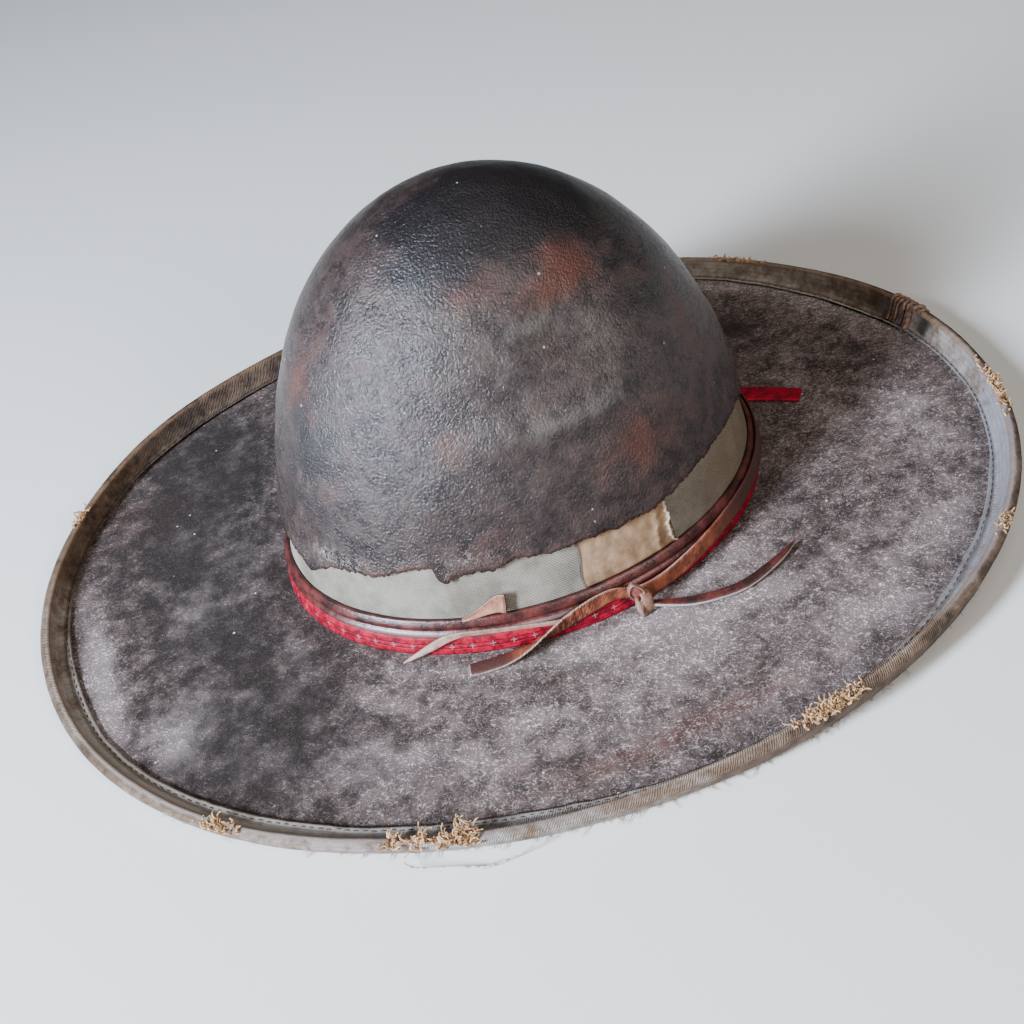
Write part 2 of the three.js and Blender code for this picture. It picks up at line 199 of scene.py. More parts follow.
def rim_wobble(angle):
    """The hand-worn unevenness of the rim's height."""
    return 0.0004 * np.sin(5 * angle + 1.3) + 0.0003 * np.sin(11 * angle + 0.4)


def rim_straight(angle):
    """The length of the rim's straight upper part."""
    height = RIM_HEIGHT + RIM_HEIGHT_TILT * np.cos(angle) + RIM_HEIGHT_SWING * np.sin(2 * angle)
    rise = RIM_BEND_RADIUS * (1 - math.cos(RIM_SLOPE))
    return (height + rim_wobble(angle) - RIM_COVER - FELT / 2 - rise) / math.sin(RIM_SLOPE)


def rim_path(angle, share):
    """The rim's middle line: share 0 to 1 runs round the bend and 1 to 2 up the straight part. Below
    0 it runs in over the flat brim."""
    straight = rim_straight(angle)
    run = RIM_BEND_RADIUS * math.sin(RIM_SLOPE) + straight * math.cos(RIM_SLOPE)
    foot = brim_width(angle) - (FELT / 2 + RIM_COVER) * math.sin(RIM_SLOPE) - run
    slope = RIM_SLOPE * np.clip(share, 0, 1)
    climb = straight * np.clip(share - 1, 0, 1)
    out = foot + RIM_BEND_RADIUS * (np.sin(slope) + RIM_SLOPE * np.minimum(share, 0))
    out = out + climb * math.cos(RIM_SLOPE)
    z = FELT / 2 + RIM_BEND_RADIUS * (1 - np.cos(slope)) + climb * math.sin(RIM_SLOPE)
    return out, z, slope


def beside_rim(angle, share, side, onward=0.0):
    """A point off the rim's middle line: side > 0 is the hat's inner face, onward is past the top."""
    out, z, slope = rim_path(angle, share)
    out = out - side * np.sin(slope) + onward * np.cos(slope)
    z = z + side * np.cos(slope) + onward * np.sin(slope)
    return brim_point(angle, out, z)


def skin(name, grid, ring=True, tube=True):
    """Quads over a grid of points, with a UV map in metres: x along the rows, y across them."""
    rows, columns = grid.shape[:2]
    along = np.linalg.norm(np.roll(grid, -1, axis=0) - grid, axis=2).mean(axis=1)
    across = np.linalg.norm(np.roll(grid, -1, axis=1) - grid, axis=2).mean(axis=0)
    u = np.concatenate([[0], np.cumsum(along)])
    v = np.concatenate([[0], np.cumsum(across)])
    i, j = np.meshgrid(
        np.arange(rows if ring else rows - 1), np.arange(columns if tube else columns - 1),
        indexing="ij",
    )
    i, j = i.ravel(), j.ravel()
    corners = [(i, j), (i + 1, j), (i + 1, j + 1), (i, j + 1)]
    index = np.stack([(a % rows) * columns + b % columns for a, b in corners], axis=1)
    uv = np.stack([np.stack([u[a], v[b]], axis=1) for a, b in corners], axis=1)
    faces = index.tolist()
    uv = uv.reshape(-1, 2)
    if tube and not ring:
        last = (rows - 1) * columns
        ends = [list(range(columns)), list(range(last, last + columns))[::-1]]
        faces += ends
        end_uv = np.stack([np.full(columns, u[0]), v[:columns]], axis=1)
        uv = np.concatenate([uv, end_uv, end_uv])
    mesh = bpy.data.meshes.new(name)
    mesh.from_pydata(grid.reshape(-1, 3).tolist(), [], faces)
    mesh.uv_layers.new(name="surface").data.foreach_set("uv", uv.ravel())
    mesh.polygons.foreach_set("use_smooth", [True] * len(faces))
    if tube:
        make_outward(mesh)
    piece = bpy.data.objects.new(name, mesh)
    bpy.context.collection.objects.link(piece)
    return piece


def make_outward(mesh):
    """Turns a closed mesh's faces outwards if its volume comes out negative."""
    mesh.calc_loop_triangles()
    triangles = np.empty(len(mesh.loop_triangles) * 3, dtype=int)
    mesh.loop_triangles.foreach_get("vertices", triangles)
    places = np.empty(len(mesh.vertices) * 3)
    mesh.vertices.foreach_get("co", places)
    a, b, c = places.reshape(-1, 3)[triangles.reshape(-1, 3)].transpose(1, 0, 2)
    if np.einsum("ij,ij->", a, np.cross(b, c)) < 0:
        mesh.flip_normals()


def roughen(places, scale, seed):
    """Smooth noise, about -1 to 1, at each of the places. scale is the size of its bumps."""
    shift = Vector((seed * 7.3, seed * 3.1, seed * 5.7))
    flat = places.reshape(-1, 3)
    values = [noise.fractal(Vector(p) / scale + shift, 1.0, 2.0, 3) for p in flat]
    return np.array(values).reshape(places.shape[:-1])


def stain(places, blots):
    """How strongly each place is marked by soft-edged blots: middle, radii, turn and strength."""
    mark = np.zeros(places.shape[:-1])
    for x, y, long, wide, turn_degrees, strength in blots:
        turn = math.radians(turn_degrees)
        dx, dy = places[..., 0] - x, places[..., 1] - y
        a = (dx * math.cos(turn) + dy * math.sin(turn)) / long
        b = (dy * math.cos(turn) - dx * math.sin(turn)) / wide
        mark += strength * np.exp(-(a * a + b * b))
    return mark


def store(mesh, name, values):
    """Keeps one number for each vertex under a name that the materials read."""
    mesh.attributes.new(name, "FLOAT", "POINT").data.foreach_set("value", np.ravel(values))


# Blots on the brim: x, y, half length, half width, turn in degrees, strength
# Pale blots: dust in the nap, and a few broad blots of painted light over the front right of the brim
BRIM_DUST_AND_PAINTED_LIGHT = [
    (-0.189, -0.020, 0.007, 0.060, 4, 0.8),
    (-0.172, -0.076, 0.007, 0.032, -32, 0.7),
    (0.170, 0.070, 0.010, 0.040, 24, 0.6),
    (0.020, -0.130, 0.080, 0.030, 5, 0.40),
    (0.120, -0.110, 0.050, 0.034, 35, 0.35),
    (0.165, 0.000, 0.024, 0.060, 5, 0.12),
    (0.041, -0.088, 0.018, 0.0040, 22, 0.9),
    (0.012, -0.094, 0.018, 0.0040, 6, 1.0),
    (-0.017, -0.093, 0.018, 0.0040, -8, 0.6),
    (-0.048, -0.085, 0.018, 0.0040, -24, 0.8),
    (-0.074, -0.072, 0.016, 0.0040, -36, 0.6),
    (0.020, -0.101, 0.020, 0.008, 5, 1.1),
    (0.055, -0.106, 0.024, 0.008, 10, 0.9),
    (-0.010, -0.099, 0.020, 0.006, -8, 0.6),
    (0.020, -0.120, 0.028, 0.011, 4, 0.5),
    (-0.098, -0.110, 0.024, 0.014, -35, 0.8),
    (-0.060, -0.122, 0.022, 0.012, -20, 0.6),
    (-0.036, -0.118, 0.006, 0.005, 0, 0.7),
    (0.062, -0.083, 0.018, 0.007, 20, 0.7),
    (0.098, -0.132, 0.036, 0.010, 25, 0.7),
    (0.150, -0.100, 0.020, 0.012, 40, 0.6),
    (0.174, -0.045, 0.012, 0.030, 0, 0.7),
    (0.143, -0.022, 0.012, 0.014, 0, 0.7),
    (0.140, 0.010, 0.010, 0.010, 0, 0.4),
    (0.184, 0.060, 0.005, 0.040, 22, 0.9),
    (0.150, 0.100, 0.030, 0.005, -38, 0.9),
    (0.150, 0.030, 0.008, 0.010, 0, 0.4),
    (-0.192, -0.020, 0.006, 0.045, 4, 0.9),
    (-0.160, -0.055, 0.018, 0.018, 0, 0.6),
    (-0.160, 0.130, 0.014, 0.004, 45, 0.8),
    (-0.145, 0.000, 0.014, 0.018, 0, 0.4),
    (-0.120, 0.030, 0.012, 0.020, 20, 0.4),
    (-0.110, -0.040, 0.006, 0.020, 15, 0.5),
    (-0.080, -0.086, 0.020, 0.008, -25, 0.5),
]
# Dark blots: soot, and broad blots of painted shade over the left of the brim and behind the crown at
# the back left
BRIM_SOOT_AND_PAINTED_SHADE = [
    (-0.140, 0.020, 0.050, 0.130, 8, 1.45),
    (-0.130, -0.090, 0.070, 0.040, -35, 0.60),
    (0.110, 0.050, 0.030, 0.020, 0, 0.4),
    (-0.120, 0.105, 0.026, 0.040, 0, 1.0),
    (-0.150, 0.055, 0.010, 0.018, 10, 0.8),
    (-0.118, -0.066, 0.016, 0.010, -30, 0.7),
    (-0.140, -0.090, 0.016, 0.008, -35, 0.6),
    (-0.164, -0.074, 0.007, 0.007, 0, 0.9),
    (-0.030, -0.142, 0.030, 0.005, 0, 0.7),
    (0.050, -0.113, 0.016, 0.004, 8, 0.5),
    (0.102, -0.062, 0.012, 0.014, 35, 0.8),
    (0.092, -0.096, 0.014, 0.006, 20, 0.7),
    (0.137, 0.066, 0.010, 0.022, 10, 1.0),
    (0.176, 0.005, 0.007, 0.030, 0, 0.8),
    (0.158, 0.030, 0.010, 0.020, 20, 0.5),
    (0.130, -0.100, 0.016, 0.008, 35, 0.5),
    (0.168, -0.085, 0.008, 0.010, 30, 0.6),
    (-0.080, 0.130, 0.050, 0.022, 10, 0.4),
    (0.060, 0.130, 0.060, 0.020, -8, 0.2),
]
BRIM_RUST = [
    (-0.010, -0.150, 0.034, 0.0055, 3, 1.1),
    (-0.160, 0.070, 0.016, 0.034, 10, 0.8),
    (-0.142, 0.080, 0.020, 0.028, 10, 0.9),
    (-0.170, 0.090, 0.010, 0.020, 20, 0.6),
    (0.035, -0.149, 0.040, 0.005, 4, 1.0),
    (-0.045, -0.140, 0.028, 0.006, -8, 0.7),
    (-0.105, -0.080, 0.022, 0.014, -30, 0.5),
    (0.010, -0.128, 0.020, 0.006, 0, 0.4),
    (0.125, 0.020, 0.012, 0.030, 0, 0.5),
    (0.180, -0.015, 0.006, 0.016, 0, 0.4),
    (-0.060, 0.150, 0.060, 0.012, 5, 0.5),
]

flat_share = np.linspace(0, 1, 46)[None, :]
foot = rim_path(angles, np.zeros((1, 1)))[0]
flat_out = FOOT_FILLET + (foot - FOOT_FILLET) * flat_share
flat_top = brim_point(angles, flat_out, np.full_like(flat_out, FELT))
hills = roughen(flat_top, 0.028, 1) * 0.0007 + roughen(flat_top, 0.009, 2) * 0.00022
hills = hills * np.clip((flat_out - 0.034) / 0.02, 0.12, 1) * np.clip((foot - flat_out) / 0.008, 0, 1)
flat_top[..., 2] += hills
under_share = np.linspace(1, 0, 18)[None, :]
under_out = FOOT_FILLET + (foot - FOOT_FILLET) * under_share
collar_heights = np.array([[COLLAR_TOP_Z, 0.036, 0.026, 0.016, 0.008, FELT + FOOT_FILLET]])
bend_z = FELT + FOOT_FILLET
fillet = FOOT_FILLET * (1 - math.sqrt(0.5))
under_bend = bend_z * (1 - math.sqrt(0.5))
half_felt = FELT / 2
brim_grid = np.concatenate([
    collar_point(angles, collar_heights, 0),
    collar_point(angles, np.array([[FELT + fillet]]), fillet),
    flat_top,
    beside_rim(angles, np.linspace(0.15, 2, 12)[None, :], half_felt),
    beside_rim(angles, np.array([[2.0]]), half_felt * 0.5, half_felt * 0.6),
    beside_rim(angles, np.array([[2.0]]), -half_felt * 0.5, half_felt * 0.6),
    beside_rim(angles, np.linspace(2, 0.15, 9)[None, :], -half_felt),
    brim_point(angles, under_out, np.zeros_like(under_out)),
    collar_point(angles, np.array([[under_bend]]), under_bend - FELT),
    collar_point(angles, collar_heights[:, ::-1], -FELT),
], axis=1)
brim = skin("brim_felt", brim_grid)

speckle = roughen(brim_grid, 0.02, 3) * 0.3 + roughen(brim_grid, 0.006, 4) * 0.2
store(brim.data, "dust_and_painted_light", stain(brim_grid, BRIM_DUST_AND_PAINTED_LIGHT) + speckle)
store(brim.data, "soot_and_painted_shade", stain(brim_grid, BRIM_SOOT_AND_PAINTED_SHADE) - speckle * 0.7)
store(brim.data, "rust", stain(brim_grid, BRIM_RUST) + roughen(brim_grid, 0.015, 5) * 0.25)


def mixed(tree, factor, first, second):
    """Two colours mixed by a factor."""
    made = tree.nodes.new("ShaderNodeMix")
    made.data_type = "RGBA"
    for socket, value in ((0, factor), (6, first), (7, second)):
        if isinstance(value, bpy.types.NodeSocket):
            tree.links.new(value, made.inputs[socket])
        else:
            made.inputs[socket].default_value = value
    return made.outputs[2]


def calc(tree, operation, *values):
    """A Math node over numbers and sockets."""
    made = node(tree, "ShaderNodeMath", operation=operation)
    for socket, value in enumerate(values):
        if isinstance(value, bpy.types.NodeSocket):
            tree.links.new(value, made.inputs[socket])
        else:
            made.inputs[socket].default_value = value
    return made.outputs[0]


def between(tree, value, low, high):
    """0 below low, 1 above high, smooth between."""
    made = node(tree, "ShaderNodeMapRange", {"Value": value, "From Min": low, "From Max": high},
                interpolation_type="SMOOTHSTEP")
    return made.outputs["Result"]


def attribute(tree, name):
    """The numbers that store() kept under a name."""
    return node(tree, "ShaderNodeAttribute", attribute_name=name).outputs["Fac"]


def felt_fibre_group():
    """Short curly hairs lying every way, as thin lines where a noise passes its middle value."""
    group = bpy.data.node_groups.new("felt_fibres", "ShaderNodeTree")
    group.interface.new_socket("Fibre Size", in_out="INPUT", socket_type="NodeSocketFloat")
    group.interface.new_socket("Fibres", in_out="OUTPUT", socket_type="NodeSocketFloat")
    group.interface.new_socket("Mottle", in_out="OUTPUT", socket_type="NodeSocketFloat")
    group.interface.new_socket("Flecks", in_out="OUTPUT", socket_type="NodeSocketFloat")
    size = node(group, "NodeGroupInput").outputs["Fibre Size"]
    place = node(group, "ShaderNodeTexCoord").outputs["Object"]
    strongest = None
    for layer in range(4):
        shift = (0.31 * layer, 0.17 * layer, 0.53 * layer)
        moved = node(group, "ShaderNodeMapping",
                     {"Vector": place, "Location": shift, "Rotation": (0.4 * layer, 0, 0.8 * layer),
                      "Scale": (1.0, 1.7, 1.0)})
        curl = node(group, "ShaderNodeTexNoise", {"Vector": moved.outputs[0], "Detail": 0.0})
        group.links.new(calc(group, "DIVIDE", 1.0, size), curl.inputs["Scale"])
        off_middle = calc(group, "ABSOLUTE", calc(group, "SUBTRACT", curl.outputs["Fac"], 0.5))
        line = between(group, off_middle, 0.045, 0.012)
        patches = node(group, "ShaderNodeTexNoise",
                       {"Vector": moved.outputs[0], "Scale": 330.0, "Detail": 1.0})
        line = calc(group, "MULTIPLY", line, between(group, patches.outputs["Fac"], 0.42, 0.62))
        strongest = line if strongest is None else calc(group, "MAXIMUM", strongest, line)
    mottle = node(group, "ShaderNodeTexNoise", {"Vector": place, "Scale": 120.0, "Detail": 8.0,
                                               "Roughness": 0.7})
    speck = node(group, "ShaderNodeTexVoronoi", {"Vector": place, "Scale": 150.0})
    chance = node(group, "ShaderNodeSeparateColor", {"Color": speck.outputs["Color"]})
    reach = calc(group, "MULTIPLY", between(group, chance.outputs["Red"], 0.72, 1.0), 0.075)
    fleck = between(group, calc(group, "SUBTRACT", speck.outputs["Distance"], reach), 0.02, -0.01)
    leave = node(group, "NodeGroupOutput")
    group.links.new(strongest, leave.inputs["Fibres"])
    group.links.new(mottle.outputs["Fac"], leave.inputs["Mottle"])
    group.links.new(fleck, leave.inputs["Flecks"])
    return group


FELT_FIBRES = felt_fibre_group()

brim_material, tree, felt = new_material("brim_felt")
fibres = node(tree, "ShaderNodeGroup", node_tree=FELT_FIBRES)
fibres.inputs["Fibre Size"].default_value = 0.0021
hair, mottle, fleck = (fibres.outputs[name] for name in ("Fibres", "Mottle", "Flecks"))
ragged = calc(tree, "MULTIPLY_ADD", mottle, 2.0, -1.0)
# Pale dust colour, which also paints light over the front right of the brim
dust_and_light = between(tree, calc(tree, "ADD", attribute(tree, "dust_and_painted_light"), ragged), -0.2, 1.6)
# Dark soot colour, which also paints shade over the left and the back left of the brim
soot_and_shade = between(tree, calc(tree, "SUBTRACT", attribute(tree, "soot_and_painted_shade"), ragged), -0.1, 1.5)
rusty = between(tree, calc(tree, "ADD", attribute(tree, "rust"), ragged), 0.1, 1.2)
mottled = between(tree, mottle, 0.32, 0.68)
colour = mixed(tree, mottled, (0.022, 0.013, 0.011, 1), (0.082, 0.052, 0.046, 1))
colour = mixed(tree, calc(tree, "MULTIPLY", rusty, 0.7), colour, (0.066, 0.024, 0.016, 1))
colour = mixed(tree, calc(tree, "MULTIPLY", soot_and_shade, 0.92), colour, (0.011, 0.007, 0.006, 1))
colour = mixed(tree, calc(tree, "MULTIPLY", dust_and_light, 0.50), colour, (0.275, 0.225, 0.222, 1))
pale_hair = calc(tree, "MULTIPLY", hair, calc(tree, "MULTIPLY_ADD", dust_and_light, 0.62, 0.30))
pale_hair = calc(tree, "MULTIPLY", pale_hair, calc(tree, "MULTIPLY_ADD", soot_and_shade, -0.85, 1.0))
colour = mixed(tree, pale_hair, colour, (0.62, 0.52, 0.50, 1))
colour = mixed(tree, calc(tree, "MULTIPLY", fleck, 0.8), colour, (0.75, 0.73, 0.70, 1))
tree.links.new(colour, felt.inputs["Base Color"])
felt.inputs["Roughness"].default_value = 0.9
felt.inputs["Specular IOR Level"].default_value = 0.2
felt.inputs["Sheen Weight"].default_value = 0.03
felt.inputs["Sheen Roughness"].default_value = 0.5
raised = calc(tree, "ADD", hair, calc(tree, "MULTIPLY", mottle, 2.0))
bump = node(tree, "ShaderNodeBump", {"Strength": 0.8, "Distance": 0.0005, "Height": raised})
tree.links.new(bump.outputs["Normal"], felt.inputs["Normal"])
brim.data.materials.append(brim_material)
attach(brim, "root")
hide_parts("brim")

# Brim hair: single coarse hairs of the felt, which wear has pulled up out of the nap all over the
# brim's upper face. They stand thickest under the pale blots, of dust and of painted light.
HAIRS_PER_SQUARE_METRE = 140000.0
HAIR_LENGTH = 0.0017


def with_modifier(piece, tree, **values):
    """Runs a node tree on a piece, with its named inputs set, and keeps the result as a plain mesh."""
    modifier = piece.modifiers.new(tree.name, "NODES")
    modifier.node_group = tree
    for item in tree.interface.items_tree:
        if item.item_type == "SOCKET" and item.in_out == "INPUT" and item.name in values:
            modifier[item.identifier] = values[item.name]
    settled = piece.evaluated_get(bpy.context.evaluated_depsgraph_get())
    mesh = bpy.data.meshes.new_from_object(settled)
    piece.modifiers.clear()
    piece.data = mesh


def hair_tree(material):
    """Curved hairs scattered over the faces marked hairy, each turned and sized by chance."""
    tree = bpy.data.node_groups.new("scattered_hairs", "GeometryNodeTree")
    tree.interface.new_socket("Geometry", in_out="INPUT", socket_type="NodeSocketGeometry")
    tree.interface.new_socket("Density", in_out="INPUT", socket_type="NodeSocketFloat")
    tree.interface.new_socket("Length", in_out="INPUT", socket_type="NodeSocketFloat")
    tree.interface.new_socket("Seed", in_out="INPUT", socket_type="NodeSocketInt")
    tree.interface.new_socket("Geometry", in_out="OUTPUT", socket_type="NodeSocketGeometry")
    entry = node(tree, "NodeGroupInput")
    hairy = node(tree, "GeometryNodeInputNamedAttribute", {"Name": "hairy"}, data_type="FLOAT")
    density = calc(tree, "MULTIPLY", entry.outputs["Density"], hairy.outputs["Attribute"])
    roots = node(tree, "GeometryNodeDistributePointsOnFaces",
                 {"Mesh": entry.outputs["Geometry"], "Density": density, "Seed": entry.outputs["Seed"]})
    hair_line = node(tree, "GeometryNodeCurveQuadraticBezier",
                     {"Resolution": 3, "Start": (0, 0, 0), "Middle": (0.55, 0.30, 0.16),
                      "End": (1.0, 0.0, 0.30)})
    profile = node(tree, "GeometryNodeCurvePrimitiveCircle", {"Resolution": 3, "Radius": 0.05})
    tube = node(tree, "GeometryNodeCurveToMesh",
                {"Curve": hair_line.outputs[0], "Profile Curve": profile.outputs["Curve"]})
    spin = node(tree, "FunctionNodeRandomValue", data_type="FLOAT")
    spin.inputs[2].default_value = 0.0
    spin.inputs[3].default_value = 2 * math.pi
    tree.links.new(entry.outputs["Seed"], spin.inputs["Seed"])
    size = node(tree, "FunctionNodeRandomValue", data_type="FLOAT")
    size.inputs[2].default_value = 0.45
    size.inputs[3].default_value = 1.5
    turn_by = node(tree, "FunctionNodeAxisAngleToRotation",
                   {"Axis": (0, 0, 1), "Angle": spin.outputs[1]})
    turned_root = node(tree, "FunctionNodeRotateRotation",
                       {"Rotation": roots.outputs["Rotation"], "Rotate By": turn_by.outputs[0]},
                       rotation_space="LOCAL")
    scale = calc(tree, "MULTIPLY", size.outputs[1], entry.outputs["Length"])
    hairs = node(tree, "GeometryNodeInstanceOnPoints",
                 {"Points": roots.outputs["Points"], "Instance": tube.outputs["Mesh"],
                  "Rotation": turned_root.outputs[0], "Scale": scale})
    real = node(tree, "GeometryNodeRealizeInstances", {"Geometry": hairs.outputs["Instances"]})
    dressed = node(tree, "GeometryNodeSetMaterial",
                   {"Geometry": real.outputs[0], "Material": material})
    leave = node(tree, "NodeGroupOutput")
    tree.links.new(dressed.outputs[0], leave.inputs["Geometry"])
    return tree


hair_material, tree, fibre = new_material("brim_hair")
place = node(tree, "ShaderNodeTexCoord").outputs["Object"]
tone = node(tree, "ShaderNodeTexNoise", {"Vector": place, "Scale": 240.0, "Detail": 1.0})
hair_shade = between(tree, tone.outputs["Fac"], 0.38, 0.66)
colour = mixed(tree, hair_shade, (0.08, 0.055, 0.050, 1), (0.50, 0.42, 0.40, 1))
tree.links.new(colour, fibre.inputs["Base Color"])
fibre.inputs["Roughness"].default_value = 0.6

hair_bed = skin("brim_hair", flat_top, tube=False)
hairy = 0.35 + stain(flat_top, BRIM_DUST_AND_PAINTED_LIGHT) - 0.4 * stain(flat_top, BRIM_SOOT_AND_PAINTED_SHADE)
store(hair_bed.data, "hairy", np.clip(hairy, 0.06, 1.2))
with_modifier(hair_bed, hair_tree(hair_material),
              Density=HAIRS_PER_SQUARE_METRE, Length=HAIR_LENGTH, Seed=3)
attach(hair_bed, "root")
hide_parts("brim")

# Crown: a tall dome of the same felt, waxed and handled until it shines like old leather. It is
# slipped over the collar, and its lower edge has torn.
CROWN_SPOKES = 720
CROWN_FELT = 0.0022
DOME_FOOT_Z = 0.008
DOME_X = 0.1028
DOME_Y = 0.0820
DOME_Z = 0.1505
STRAP_OUT = 0.0018
# Height of the torn lower edge, by angle
TORN_EDGE = [
    (-180, 0.0395), (-170, 0.0380), (-163, 0.0352), (-159.5, 0.0318), (-158, 0.0320),
    (-152, 0.0370), (-147, 0.0386), (-137, 0.0383), (-130, 0.0421), (-123.4, 0.0434),
    (-122.4, 0.0418), (-121.7, 0.0381), (-120, 0.0371), (-119.0, 0.0368), (-118.4, 0.0396),
    (-116.6, 0.0384), (-108, 0.0399), (-103, 0.0424), (-94, 0.0405), (-90, 0.0410),
    (-80, 0.0395), (-70, 0.0390), (-62, 0.0410), (-54, 0.0436), (-43, 0.0452), (-30, 0.0446),
    (-18, 0.0385), (-10, 0.0385), (20, 0.0415), (60, 0.0380), (100, 0.0420), (140, 0.0385),
    (180, 0.0395),
]
# How far the torn edge stands off the ribbon, by angle
EDGE_LIFT = [
    (-180, 0.0012), (-166, 0.0018), (-156, 0.0014), (-148, 0.0005), (-132, 0.0009), (-121, 0.0006),
    (-112, 0.0005), (-95, 0.0008), (-75, 0.0004), (-40, 0.0009), (0, 0.0006), (90, 0.0008),
    (180, 0.0012),
]
# Dents (positive) and soft folds (negative): angle, height, half width, half height, depth
CROWN_DENTS = [
    (-76, 0.1150, 0.0130, 0.0085, 0.0032),
    (-77, 0.1165, 0.0050, 0.0032, 0.0007),
    (-79, 0.1260, 0.0160, 0.0060, -0.0016),
    (-88, 0.0890, 0.0300, 0.0070, -0.0020),
    (-92, 0.1010, 0.0260, 0.0080, 0.0016),
    (95, 0.1120, 0.0240, 0.0160, 0.0030),
]

crown_angles = np.linspace(-math.pi, math.pi, CROWN_SPOKES, endpoint=False)[:, None]
edge_degrees, edge_heights = np.array(TORN_EDGE).T
edge_z = np.interp(np.degrees(crown_angles), edge_degrees, edge_heights)
edge_ring = points_of(np.cos(crown_angles) * 0.1, np.sin(crown_angles) * 0.08, 0)
edge_z = edge_z + roughen(edge_ring, 0.0035, 6) * 0.0009 + roughen(edge_ring, 0.0012, 7) * 0.0009


def crown_point(angle, latitude, inset):
    """A point on the dome, inset from its outer face, kept clear of the ribbon where they overlap."""
    z = DOME_FOOT_Z + (DOME_Z - inset) * np.sin(latitude)
    lift = np.interp(np.degrees(angle), *np.array(EDGE_LIFT).T)
    lift = lift * np.exp(-((z - edge_z) / 0.006) ** 2)
    dent = np.zeros_like(z + angle)
    for degrees, height, across, tall, depth in CROWN_DENTS:
        turn = np.angle(np.exp(1j * (angle - math.radians(degrees))))
        dent = dent + depth * np.exp(-(turn * DOME_Y / across) ** 2 - ((z - height) / tall) ** 2)
    shrink = np.cos(latitude)
    stand = STRAP_OUT + CROWN_FELT - inset
    rise = z - COLLAR_FOOT_Z
    low = z < COLLAR_TOP_Z
    half_x, half_y = (DOME_X - inset) * shrink, (DOME_Y - inset) * shrink
    least_x = COLLAR_HALF_LENGTH - COLLAR_TAPER_X * rise + stand
    least_y = COLLAR_HALF_WIDTH - COLLAR_TAPER_Y * rise + stand
    half_x = np.where(low, np.maximum(half_x, least_x), half_x)
    half_y = np.where(low, np.maximum(half_y, least_y), half_y)
    x = (half_x + lift - dent * shrink) * np.cos(angle) + crown_centre_x(z)
    y = (half_y + lift - dent * shrink) * np.sin(angle)
    return points_of(x, y, z)


def dome_face(inset, rings):
    """The dome's outer face (inset 0) or inner face, as rings from the torn edge to the top."""
    edge = np.arcsin((edge_z - DOME_FOOT_Z) / (DOME_Z - inset))
    top = math.pi / 2 - 0.012
    return crown_point(crown_angles, edge + (top - edge) * np.linspace(0, 1, rings)[None, :], inset)


outside = dome_face(0, 112)
swell = roughen(outside, 0.045, 8) * 0.0009 + roughen(outside, 0.014, 9) * 0.0002
fade = np.clip((outside[..., 2] - edge_z) / 0.02, 0, 1)
directions = outside - np.array([CROWN_X, 0, 0.03])
directions /= np.linalg.norm(directions, axis=-1, keepdims=True)
outside = outside + directions * (swell * fade)[..., None]
edge_middle = (outside[:, :1] + dome_face(CROWN_FELT, 2)[:, :1]) / 2 - np.array([0, 0, 0.0003])
inside = dome_face(CROWN_FELT, 16)
crown_grid = np.concatenate([outside[:, ::-1], edge_middle, inside], axis=1)
crown = skin("crown_felt", crown_grid, tube=False)


def with_poles(piece, rows, columns):
    """Closes both ends of the dome's grid, outside and inside, and turns its faces outwards."""
    work = bmesh.new()
    work.from_mesh(piece.data)
    work.verts.ensure_lookup_table()
    for column in (0, columns - 1):
        work.faces.new([work.verts[row * columns + column] for row in range(rows)]).smooth = True
    bmesh.ops.recalc_face_normals(work, faces=work.faces)
    work.to_mesh(piece.data)
    work.free()
    make_outward(piece.data)


with_poles(crown, CROWN_SPOKES, crown_grid.shape[1])

# Blots on the crown, in degrees round the hat and metres of height, as for the brim
CROWN_RUST = [
    (-167, 0.104, 11, 0.013, 0, 1.2),
    (-104, 0.137, 9, 0.005, 0, 0.9),
    (-58, 0.135, 13, 0.008, 0, 1.2),
    (-73, 0.128, 16, 0.006, 0, 0.9),
    (-69, 0.066, 9, 0.013, 0, 0.8),
    (-113, 0.090, 6, 0.009, 0, 0.6),
    (-112, 0.050, 8, 0.009, 0, 0.5),
    (-36, 0.098, 9, 0.020, 0, 0.5),
    (-158, 0.126, 12, 0.007, 0, 0.5),
    (-45, 0.060, 16, 0.020, 0, 0.4),
    (30, 0.100, 18, 0.022, 0, 0.8),
    (95, 0.080, 16, 0.024, 0, 0.7),
    (140, 0.120, 12, 0.014, 0, 0.7),
    (60, 0.135, 20, 0.008, 0, 0.6),
]
# Dark blots: soot, and painted shade over the top of the dome and on its left flank
CROWN_SOOT_AND_PAINTED_SHADE = [
    (-80, 0.149, 60, 0.010, 0, 1.1),
    (-45, 0.156, 120, 0.007, 0, 1.6),
    (-20, 0.146, 50, 0.011, 0, 1.2),
    (-158, 0.085, 16, 0.026, 0, 0.9),
    (-30, 0.120, 20, 0.016, 0, 0.6),
    (-120, 0.142, 20, 0.006, 0, 0.7),
    (60, 0.150, 60, 0.008, 0, 0.8),
    (160, 0.100, 20, 0.020, 0, 0.5),
]
